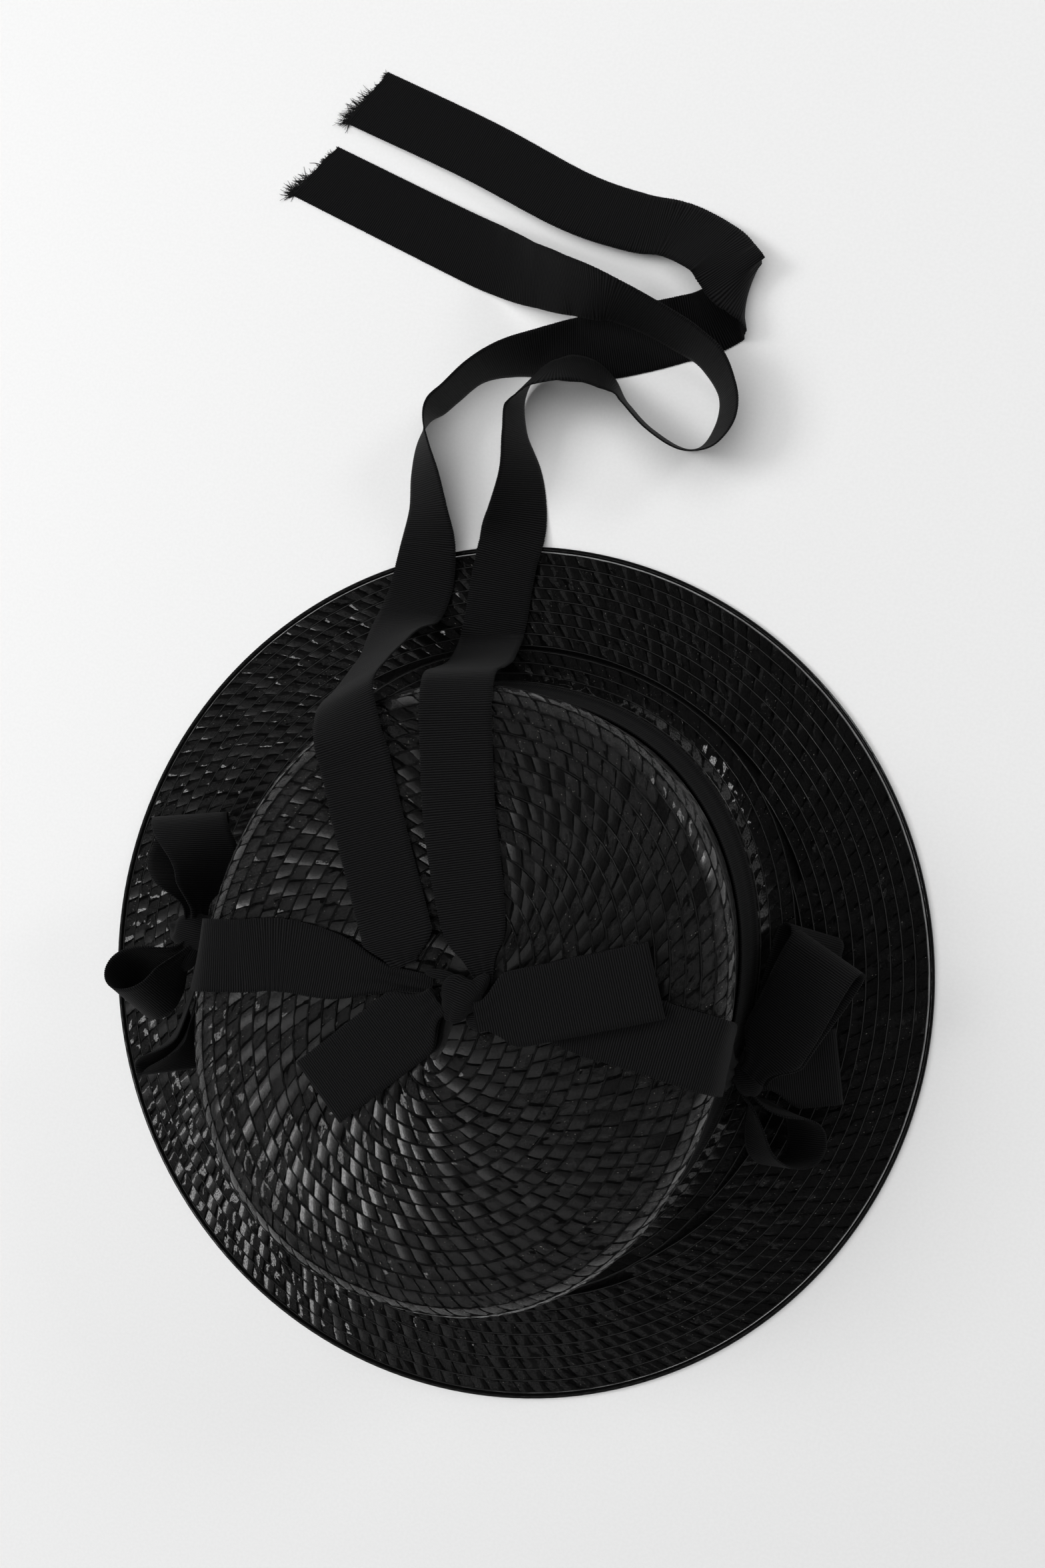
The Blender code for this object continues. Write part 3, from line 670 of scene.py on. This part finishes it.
# The band's ribs all round, and how far its middle surface stands off the crown's side
BAND_RIBS = 818
BAND_AROUND = BAND_RIBS * RIB_SAMPLES
BAND_STAND = GAP + CLOTH_THICK + 0.0001
band_bearings = np.linspace(-90, 270, BAND_AROUND + 1)
rows = []
for share in RIBBON_SHARES:
    up = BAND_FOOT + RIBBON_WIDTH * (share + 1) / 2
    out = hat_line(up) + BAND_STAND
    x, y = oval(band_bearings, CROWN_WIDTH / 2 + out, CROWN_LENGTH / 2 + out, OVAL_POWER)
    loops = np.cos(np.radians(band_bearings) * BAND_RIBS)
    tooth = TOOTH * np.sign(share) * (abs(share) == 1) * loops
    rows.append(np.stack((x, y, up + tooth), axis=-1))
band_points = np.stack(rows, axis=1)
band_along = run_length(band_points[:, MIDDLE_COLUMN])
band = cloth("band", band_points, band_along, ring=True)
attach(band, "root")
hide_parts("hat_band")


# The cross ribbon: the same ribbon over the crown from side to side, in two halves, drawn together in
# gathers where each goes under the top knot and where it goes into the knot of its side bow.
def hat_skin(bearing, reach):
    """A point of the hat's skin: reach is 0 at the middle of the tip, 1 at the shoulder, 2 where the flat
    brim starts and 3 at its edge."""
    x, y = oval(bearing, CROWN_WIDTH / 2 - SHOULDER_WIDTH, CROWN_LENGTH / 2 - SHOULDER_WIDTH, OVAL_POWER)
    if reach <= 1:
        return np.array((x * reach, y * reach, CROWN_HEIGHT - CROWN_DOME * reach**2))
    if reach <= 2:
        out, up = (np.interp((reach - 1) * ALONG[-1], ALONG, column) for column in PROFILE.T)
        return np.array((*oval(bearing, CROWN_WIDTH / 2 + out, CROWN_LENGTH / 2 + out, OVAL_POWER), up))
    inner = np.array(oval(bearing, *FLARE_HALF, OVAL_POWER))
    outer = np.array(oval(bearing, BRIM_WIDTH / 2, BRIM_LENGTH / 2))
    return np.array((*(inner + (outer - inner) * (reach - 2)), STRAW_WALL))


def skin_normal(bearing, reach):
    reach = max(reach, 0.008)
    down = hat_skin(bearing, reach + 0.004) - hat_skin(bearing, reach - 0.004)
    return unit(np.cross(down, hat_skin(bearing + 0.5, reach) - hat_skin(bearing - 0.5, reach)))


def hat_stations(rows):
    """The middle, the crosswise direction and the width share at each row of a ribbon on the hat."""
    middles = np.array([hat_skin(b, r) + skin_normal(b, r) * lift * RIBBON_WIDTH for b, r, lift, _ in rows])
    runs = np.gradient(middles, axis=0)
    across = [unit(np.cross(skin_normal(row[0], row[1]), run)) for row, run in zip(rows, runs)]
    return np.hstack((middles, across, np.array(rows)[:, 3:]))


SMOOTH_SAMPLES = 12


def ribbon_frame(stations, step):
    """Middles, crosswise directions, normals, half widths and lengths, this finely along a ribbon."""
    fine = smooth_rows(stations, SMOOTH_SAMPLES * len(stations))
    length = run_length(fine[:, :3])
    wanted = np.linspace(0, length[-1], int(length[-1] / step) + 1)
    rows = np.array([np.interp(wanted, length, column) for column in fine.T]).T
    middles, across = rows[:, :3], rows[:, 3:6]
    runs = unit(np.gradient(middles, axis=0))
    across = unit(across - runs * (across * runs).sum(axis=1, keepdims=True))
    return middles, across, np.cross(runs, across), np.clip(rows[:, 6], 0, 1), wanted


PLEAT = 0.0014
UNEVEN_TOOTH = 0.00003


def gathered(drawn, amount, turn=0.0):
    """The rise of the pleats across a ribbon, drawn in to this share of its width."""
    tight = np.clip(1 - drawn, 0, 1)[:, None]
    wave = 0.5 + 0.5 * np.cos(np.pi * (2.2 + 0.8 * tight) * RIBBON_SHARES + turn)
    second = 0.5 + 0.5 * np.cos(np.pi * 5.1 * RIBBON_SHARES + 1.3 + turn)
    return amount * tight ** 0.8 * (0.75 * wave + 0.35 * second)


def ribbon_reach(drawn, length):
    """How far each column lies from the middle. At the selvedges the weft makes a small loop at each rib."""
    halves = drawn * RIBBON_WIDTH / 2
    reach = halves[:, None] * RIBBON_SHARES
    uneven = luck.normal(0, UNEVEN_TOOTH, len(length))
    toothed = halves + TOOTH * np.cos(2 * np.pi * length / RIB_PITCH) + uneven
    reach[:, 0], reach[:, -1] = -toothed, toothed
    return reach


# Each row: its bearing, its reach over the hat, its lift in ribbon widths, and how much of its width it keeps
CROSS_LEFT = (
    (151, 0.085, 0.036, 0.34), (171, 0.185, 0.036, 0.36), (176, 0.300, 0.036, 0.42),
    (178.9, 0.50, 0.036, 0.88), (180.2, 0.75, 0.036, 1.00), (182.6, 0.94, 0.046, 1.00),
    (184, 1.08, 0.078, 1.00), (185, 1.18, 0.078, 0.98), (185.5, 1.30, 0.060, 0.90),
    (186, 1.42, 0.085, 0.76), (186, 1.52, 0.140, 0.62), (186, 1.60, 0.150, 0.52),
)
CROSS_RIGHT = (
    (11, 0.150, 0.036, 0.32), (10, 0.240, 0.036, 0.38), (9, 0.360, 0.036, 0.55),
    (8, 0.595, 0.036, 1.00), (6, 0.800, 0.036, 1.00), (4.9, 0.94, 0.040, 1.00),
    (4, 1.08, 0.050, 1.00), (3, 1.18, 0.055, 0.95), (1.5, 1.30, 0.060, 0.80),
    (0, 1.42, 0.085, 0.62), (-1.5, 1.52, 0.140, 0.50), (-2.2, 1.63, 0.150, 0.42),
)
for node, rows in (("cross_band_left", CROSS_LEFT), ("cross_band_right", CROSS_RIGHT)):
    middles, across, normals, drawn, length = ribbon_frame(hat_stations(rows), RIB_PITCH / RIB_SAMPLES)
    reach, rise = ribbon_reach(drawn, length), gathered(drawn, PLEAT)
    points = middles[:, None] - across[:, None] * reach[..., None] + normals[:, None] * rise[..., None]
    piece = cloth("ribbon_" + node, points, length)
    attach(piece, "root")
    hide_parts(node)


# The tails: the two free ends of the top bow, over the crown and the brim and in loose turns on the floor,
# cut slantwise and fraying. They lean on their selvedges where they turn, and the left one folds over itself.
# The rows on the hat read as the cross ribbon's do.
LEFT_TAIL_HAT = (
    (157.5, 0.225, 0.090, 0.30), (154, 0.255, 0.090, 0.50), (147.5, 0.315, 0.085, 0.98),
    (142.4, 0.406, 0.050, 1.00), (139.1, 0.497, 0.040, 1.00), (134, 0.740, 0.040, 1.00),
    (131.5, 0.930, 0.045, 1.00), (130.5, 1.040, 0.080, 1.00), (128.5, 1.140, 0.260, 1.00),
    (126, 1.270, 0.560, 1.00), (124, 1.440, 0.860, 1.00), (122.3, 1.620, 1.080, 1.00),
    (121, 2.410, 0.460, 1.00), (119.1, 2.600, 0.130, 1.00), (117.3, 2.800, 0.060, 1.00),
)
RIGHT_TAIL_HAT = (
    (42, 0.170, 0.060, 0.20), (54, 0.180, 0.060, 0.30), (68, 0.205, 0.060, 0.46),
    (82.3, 0.266, 0.050, 0.82), (94.4, 0.418, 0.040, 0.96), (101.9, 0.672, 0.040, 1.00),
    (104, 0.930, 0.045, 1.00), (104.3, 1.050, 0.070, 1.00), (104.5, 1.150, 0.150, 1.00),
    (105.2, 1.340, 0.330, 1.00), (106, 1.530, 0.460, 1.00), (106.9, 1.720, 0.530, 1.00),
    (107.2, 2.090, 0.170, 1.00), (106.4, 2.310, 0.055, 1.00), (105.5, 2.600, 0.050, 1.00),
    (104.6, 2.860, 0.095, 1.00),
)
# Each row beyond the hat: the place of its middle in half lengths of the brim, the lift of its lower edge in
# ribbon widths, the way its width points and how far that leans up, in degrees
LEFT_TAIL_FLOOR = (
    (-0.430, 0.930, 0.12, 181, -16), (-0.448, 1.005, 0.04, 184, -38), (-0.475, 1.083, 0.03, 179, -49),
    (-0.494, 1.148, 0.03, 172, -63), (-0.497, 1.198, 0.03, 152, -76), (-0.482, 1.236, 0.03, 140, -90),
    (-0.454, 1.275, 0.03, 137, -91), (-0.410, 1.333, 0.03, 128, -94), (-0.345, 1.377, 0.03, 122, -106),
    (-0.259, 1.411, 0.03, 114, -122), (-0.160, 1.450, 0.03, 108, -151), (-0.064, 1.494, 0.03, 108, -162),
    (0.020, 1.540, 0.04, 290, -4), (0.072, 1.566, 0.04, 291, -3), (0.118, 1.604, 0.06, 300, 0),
    (0.141, 1.619, -0.04, 293, 19), (0.150, 1.632, 0.05, 273, 27), (0.139, 1.645, 0.27, 253, 19),
    (0.122, 1.657, 0.48, 247, 3), (0.093, 1.683, 0.40, 243, 8), (0.052, 1.716, 0.24, 243, 16),
    (-0.046, 1.752, 0.06, 247, 14), (-0.145, 1.754, 0.03, 250, 12), (-0.303, 1.777, 0.03, 253, 10),
    (-0.558, 1.853, 0.03, 254, 6), (-0.865, 1.929, 0.03, 254, 2),
)
RIGHT_TAIL_FLOOR = (
    (-0.237, 0.985, 0.18, 195, 6), (-0.237, 1.053, 0.05, 202, 36), (-0.249, 1.136, 0.03, 213, 60),
    (-0.281, 1.216, 0.03, 245, 74), (-0.297, 1.278, 0.05, 266, 73), (-0.283, 1.322, 0.16, 288, 69),
    (-0.256, 1.345, 0.34, 298, 63), (-0.223, 1.357, 0.48, 298, 58), (-0.180, 1.374, 0.46, 294, 54),
    (-0.130, 1.381, 0.28, 294, 53), (-0.088, 1.366, 0.12, 299, 59), (-0.049, 1.334, 0.03, 308, 65),
    (0.014, 1.293, 0.03, 310, 68), (0.082, 1.266, 0.03, 307, 73), (0.128, 1.266, 0.03, 311, 75),
    (0.163, 1.292, 0.03, 322, 71), (0.180, 1.350, 0.03, 329, 66), (0.165, 1.413, 0.04, 338, 65),
    (0.114, 1.470, 0.14, 355, 58), (0.047, 1.498, 0.26, 370, 54), (-0.036, 1.517, 0.48, 378, 54),
    (-0.134, 1.529, 0.72, 396, 56), (-0.228, 1.546, 0.56, 416, 58), (-0.322, 1.569, 0.24, 428, 50),
    (-0.421, 1.597, 0.05, 433, 28), (-0.560, 1.636, 0.03, 434, 6), (-0.952, 1.737, 0.03, 434, 0),
)
# How far each cut end slants, as a share of the half width, and how far back that is felt, in widths
LEFT_CUT = 0.25
RIGHT_CUT = -0.36
CUT_REACH = 2.0
# The ribbon is let down by this much on the floor, and lifted again where it would come nearer than the other
FLOOR_SINK = 0.0003
FLOOR_CLEAR = 0.0001
# The way a cut end runs is taken from this many rows back
ROWS_BACK = 6
RAGGED = (-0.0009, 0.0003)
# The threads at a cut end, how far they start inside it, and their lengths along it and in its tuft
HAIRS = 230
HAIR_THICK = 0.00020
HAIR_ROOT = 0.0008
HAIR_LENGTHS = (0.0010, 0.0024)
TUFT_LENGTHS = (0.002, 0.0062)


def floor_stations(rows):
    """The middle, the crosswise direction and the width share at each row of a tail beyond the hat."""
    found = []
    for x, y, lift, turn, lean in rows:
        turn, lean = math.radians(turn), math.radians(lean)
        up = RIBBON_WIDTH * (lift + abs(math.sin(lean)) / 2) - FLOOR_SINK
        across = (math.cos(turn) * math.cos(lean), math.sin(turn) * math.cos(lean), math.sin(lean))
        found.append((x * BRIM_LENGTH / 2, y * BRIM_LENGTH / 2, up, *across, 1))
    return np.array(found)


def frayed(points, corner):
    """Loose threads past the cut end, as thin hairs in one mesh, with a longer tuft at one corner."""
    edge, run = points[-1], unit(points[-1] - points[-ROWS_BACK])
    sideways = unit(edge[corner] - edge[MIDDLE_COLUMN])
    last = len(edge) - 1
    steps = np.linspace(0, 1, 4)[:, None]
    width = HAIR_THICK * (1 - 0.7 * steps)
    mesh = Mesh()
    for number in range(HAIRS):
        tuft = number % 2
        share = luck.beta(1.2, 5) if tuft else luck.uniform(0, 1)
        place = share * last if corner == 0 else last - share * last
        i = min(int(place), last - 1)
        root = edge[i] + (edge[i + 1] - edge[i]) * (place - i) - run[i] * HAIR_ROOT
        reach = luck.uniform(*(TUFT_LENGTHS if tuft else HAIR_LENGTHS))
        aside = sideways * (luck.uniform(-0.2, 1.0) if tuft else 0)
        aim = unit(run[i] + aside + luck.normal(0, 0.35, 3) * (1, 1, 0.3))
        bend = np.cross(aim, (0, 0, 1)) * luck.normal(0, 0.35)
        line = root + reach * (aim * steps + bend * steps**2)
        line[:, 2] = np.maximum(line[:, 2], HAIR_THICK)
        side = unit(np.cross(aim, (0, 0, 1)))
        ridge = line + np.array((0, 0, 1.5)) * width
        rim = np.stack((line - side * width, line + side * width, ridge), axis=1)
        mesh.grid(rim, np.zeros((4, 4, 2)), ring=True)
    return mesh


for node, hat_rows, floor_rows, cut, turn, corner in (
    ("tail_left", LEFT_TAIL_HAT, LEFT_TAIL_FLOOR, LEFT_CUT, 0.4, -1),
    ("tail_right", RIGHT_TAIL_HAT, RIGHT_TAIL_FLOOR, RIGHT_CUT, -0.5, 0),
):
    stations = np.vstack((hat_stations(hat_rows), floor_stations(floor_rows)))
    middles, across, normals, drawn, length = ribbon_frame(stations, RIB_PITCH / RIB_SAMPLES)
    lowest = middles[:, 2] - np.abs(across[:, 2]) * drawn * RIBBON_WIDTH / 2 - CLOTH_THICK / 2
    middles[:, 2] += np.maximum(FLOOR_CLEAR - lowest, 0)
    reach, rise = ribbon_reach(drawn, length), gathered(drawn, PLEAT, turn)
    left_over = np.linalg.norm(middles - middles[-1], axis=1) / (CUT_REACH * RIBBON_WIDTH)
    skew = cut * RIBBON_WIDTH / 2 * np.clip(1 - left_over, 0, 1)[:, None] * RIBBON_SHARES
    runs = unit(np.gradient(middles, axis=0))
    points = middles[:, None] + across[:, None] * reach[..., None] - normals[:, None] * rise[..., None]
    points += runs[:, None] * skew[..., None]
    ragged = luck.uniform(*RAGGED, (len(RIBBON_SHARES), 1))
    points[-1] += unit(points[-1] - points[-ROWS_BACK]) * ragged
    piece = cloth("ribbon_" + node, points[:, ::-1], length)
    hairs = frayed(points, corner).made("fray_" + node, grosgrain)
    for part in (piece, hairs):
        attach(part, "root")
    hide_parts(node)


# The top bow: two flat loops of the same ribbon, drawn into a small pulled knot at the middle of the crown.
# The knot sits on the cross ribbon, and the loops lie on the straw.
RIBBON_THICK = 0.001
# A loop keeps this share of its width at its root, and opens to all of it over this many widths
ROOT_WIDTH = 0.4
ROOT_REACH = 0.45
ROOT_HALF = RIBBON_THICK / 2 + 2 * GAP
# The root is slid in to this near the knot, and the ribbon then goes on into the knot by so much
SEAT_GAP = 0.00045
ROOT_SINK = 0.0022
LOOP_PLEAT = 0.0011
FEWEST_BEND_ROWS = 8
SLIDES = 401
# A loop's root and its far end, in ribbon widths from the knot's middle; its girth at that end as a share of
# the width; the share of its leg over which it opens to that girth; how the ribbon rolls at the root and at
# the end, in degrees; and the share of its length over which it turns from one to the other
LOOP_COLUMNS = (
    "root_x", "root_y", "root_z", "end_x", "end_y", "end_z",
    "girth", "spread", "root_roll", "end_roll", "twist",
)


def ease(share):
    share = np.clip(share, 0, 1)
    return share * share * (3 - 2 * share)


def outside_knot(points, knot):
    """How far points stand off a knot, along the line from its middle."""
    middle, half_sizes, bearing = knot
    cos, sin = math.cos(math.radians(bearing)), math.sin(math.radians(bearing))
    x, y, z = (points - middle).T
    share = np.linalg.norm(np.stack((x * cos + y * sin, y * cos - x * sin, z), axis=1) / half_sizes, axis=1)
    return np.linalg.norm(points - middle, axis=1) * (1 - 1 / share)


def seated(root, run, across, width, knot):
    """The loop's root, slid along its run to where the ribbon's end meets the knot."""
    shares = np.linspace(-1, 1, 7)[:, None]
    faces = np.cross(run, across) * (ROOT_HALF + RIBBON_THICK / 2)
    end_edge = root + across * shares * ROOT_WIDTH * width / 2
    end_edge = np.vstack((end_edge + faces, end_edge - faces))
    # Slide in from one width out until the knot is met, and keep the nearest place before that
    nearest, best = np.inf, 0
    for slide in np.linspace(1, -1, SLIDES) * width:
        clear = outside_knot(end_edge + run * slide, knot).min()
        if clear < SEAT_GAP:
            break
        if clear < nearest:
            nearest, best = clear, slide
    return root + run * best


def loop_points(knot, width, row, turn):
    """The middle surface of a loop's ribbon, from inside the knot out along one leg, round and back."""
    row = dict(zip(LOOP_COLUMNS, row))
    middle = knot[0]
    root = middle + width * np.array([row["root_x"], row["root_y"], row["root_z"]])
    end = middle + width * np.array([row["end_x"], row["end_y"], row["end_z"]])
    run = unit(end - root)
    level_way = unit(np.cross((0, 0, 1), run))
    upright = np.cross(run, level_way)
    roll = math.radians(row["root_roll"])
    root = seated(root, run, level_way * math.cos(roll) + upright * math.sin(roll), width, knot)
    length = np.linalg.norm(end - root)
    end_half = row["girth"] * width / 2
    legs = length - end_half
    leg = np.linspace(-ROOT_SINK / legs, 1, int(legs / RIB_PITCH * RIB_SAMPLES))
    bend_rows = max(int(math.pi * end_half / RIB_PITCH * RIB_SAMPLES), FEWEST_BEND_ROWS)
    turns = np.radians(np.linspace(90, -90, bend_rows))[1:-1]
    open_half = ROOT_HALF + (end_half - ROOT_HALF) * ease((leg - 1) / row["spread"] + 1)
    alongs = np.concatenate((legs * leg, legs + end_half * np.cos(turns), legs * leg[::-1]))
    sides = np.concatenate((open_half, end_half * np.sin(turns), -open_half[::-1]))
    turned = ease((alongs / length - 1) / row["twist"] + 1)
    roll = np.radians(row["root_roll"] + (row["end_roll"] - row["root_roll"]) * turned)[:, None]
    across = level_way * np.cos(roll) + upright * np.sin(roll)
    drawn = ROOT_WIDTH + (1 - ROOT_WIDTH) * ease(alongs / (ROOT_REACH * width))
    opening = np.cross(run, across)
    outward = opening * np.sign(sides)[:, None]
    middles = root + run * alongs[:, None] + opening * sides[:, None]
    reach = drawn[:, None] * width / 2 * RIBBON_SHARES
    rise = gathered(drawn, LOOP_PLEAT, turn)
    points = middles[:, None] + across[:, None] * reach[..., None] + outward[:, None] * rise[..., None]
    tooth = TOOTH * np.cos(2 * np.pi / RIB_SAMPLES * np.arange(len(points)))
    points[:, 0] -= across * tooth[:, None]
    points[:, -1] += across * tooth[:, None]
    return points, run_length(middles)


def add_loops(knot, width, loops):
    for number, (node, row) in enumerate(loops.items()):
        points, length = loop_points(knot, width, row, 1.1 * number)
        piece = cloth("bow_" + node, points, length)
        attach(piece, "root")
        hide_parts(node)


LUMP_ROWS = 49
LUMP_COLUMNS = 96


def knot_piece(name, node, knot, lumps):
    """A pulled knot: rounded lumps with the pleats of the ribbon round them, its ribs going over each.
    Each lump has its place and size in the knot's half sizes, its turn, its pleats and its taper."""
    middle, half_sizes, bearing = knot
    lat = np.linspace(-np.pi / 2, np.pi / 2, LUMP_ROWS)
    lon = np.linspace(0, 2 * np.pi, LUMP_COLUMNS, endpoint=False)
    lat_grid, lon_grid = np.meshgrid(lat, lon, indexing="ij")
    mesh = Mesh()
    for place, scale, turned, lobes, taper in lumps:
        pleats = 1 - 0.09 * (0.5 + 0.5 * np.cos(lobes * lat_grid + 1.4 * np.sin(lon_grid))) ** 3
        size = pleats * (0.95 + 0.05 * np.cos(2 * lon_grid + lat_grid))
        x = size * np.sin(lat_grid) * (1 + taper * np.cos(lat_grid) * np.cos(lon_grid))
        y = size * np.cos(lat_grid) * np.cos(lon_grid)
        z = size * np.cos(lat_grid) * np.sin(lon_grid)
        lump = np.stack((x, y, z), axis=-1) * np.array(scale) * np.array(half_sizes)
        spin = math.radians(turned)
        lump = lump @ np.array(Matrix.Rotation(-spin, 3, "Z")) + np.array(place) * np.array(half_sizes)
        points = lump @ np.array(Matrix.Rotation(-math.radians(bearing), 3, "Z")) + middle
        widest = points[LUMP_ROWS // 2]
        girth = 1000 * run_length(np.vstack((widest, widest[:1])))
        uvs = np.stack(np.broadcast_arrays(0.9 * np.sin(lat)[:, None], girth), axis=-1)
        mesh.grid(points, uvs, ring=True, flip=True)
    piece = mesh.made(name, grosgrain)
    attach(piece, "root")
    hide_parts(node)


TOP_HALF = np.array((0.275, 0.34, 0.148)) * RIBBON_WIDTH
top_middle = np.array((0.17 * RIBBON_WIDTH, 0.15 * RIBBON_WIDTH, CROWN_HEIGHT + 2 * GAP + TOP_HALF[2]))
TOP_KNOT = (top_middle, TOP_HALF, 0)
add_loops(TOP_KNOT, RIBBON_WIDTH, {
    "top_loop_left": (-.34, -.18, -.01, -1.56, -1.78, -.075, .15, 1, 0, 0, 1),
    "top_loop_right": (.45, -.06, -.01, 2.43, .99, -.06, .15, 1, 0, 0, 1),
})
knot_piece("bow_top_knot", "top_knot", TOP_KNOT, (
    ((0, 0, 0), (1, 1, 1), -8, 5, 0.35),
    ((1.15, -0.62, -0.35), (0.62, 0.36, 0.6), 8, 3, 0),
    ((-1.2, 0.72, -0.35), (0.85, 0.22, 0.55), 6, 2, 0),
    ((0.75, 0.75, -0.25), (0.42, 0.65, 0.7), -25, 3, -0.3),
))


# The side bows: a knot on the band at each side, with the loops that stand up, lie out over the brim
# or twist along the crown's wall. Their ribbon is a little wider than the other.
BOW_WIDTH = 0.026


def side_knot(bearing, up, stand, half_width, half_height):
    """A knot's middle, half sizes and bearing, from its height, how far it stands out and its half sizes."""
    height = BAND_FOOT + up * BOW_WIDTH
    seat = hat_line(height) + 2 * RIBBON_THICK + 4 * GAP
    outer = stand * BOW_WIDTH
    half_sizes = ((outer - seat) / 2, half_width * BOW_WIDTH, half_height * BOW_WIDTH)
    out = (outer + seat) / 2
    x, y = oval(bearing, CROWN_WIDTH / 2 + out, CROWN_LENGTH / 2 + out, OVAL_POWER)
    return np.array((x, y, height)), half_sizes, bearing


LEFT_KNOT = side_knot(184, 1.19, 1.03, .25, .25)
RIGHT_KNOT = side_knot(-2, .58, .54, .25, .23)
add_loops(LEFT_KNOT, BOW_WIDTH, {
    "left_loop_back": (-.18, .31, 0, -.64, 1.50, -.12, .92, .90, 80, 20, 1),
    "left_loop_side": (-.22, -.40, .11, -.70, -1.08, .37, .62, 1, 104, 118, 1),
    "left_loop_front": (.08, -.25, -.26, -.36, -2.25, -.90, .22, .6, -114, -58, .45),
})
knot_piece("bow_left_knot", "left_knot", LEFT_KNOT, (
    ((0, 0, 0), (1.08, 1.1, 1.1), 0, 5, 0.2),
    ((0.15, 0.9, -0.1), (0.8, 0.55, 0.75), 70, 3, 0),
))
add_loops(RIGHT_KNOT, BOW_WIDTH, {
    "right_loop_back": (.15, .37, .35, .57, 1.92, .46, .34, .60, -36, -24, 1),
    "right_loop_under": (.22, .33, -.42, .32, 2.02, -.50, .26, .70, 40, 44, 1),
    "right_loop_side": (.27, .09, -.18, 1.09, .40, -.45, .16, .40, 0, 0, 1),
    "right_loop_front": (.12, -.31, -.16, .92, -.94, -.36, .72, .90, 84, 58, 1),
})
knot_piece("bow_right_knot", "right_knot", RIGHT_KNOT, (
    ((0, 0, 0), (1.12, 1.12, 1.12), 25, 5, 0.15),
    ((-0.3, 0.95, 0.3), (0.7, 0.5, 0.7), 80, 3, 0),
))
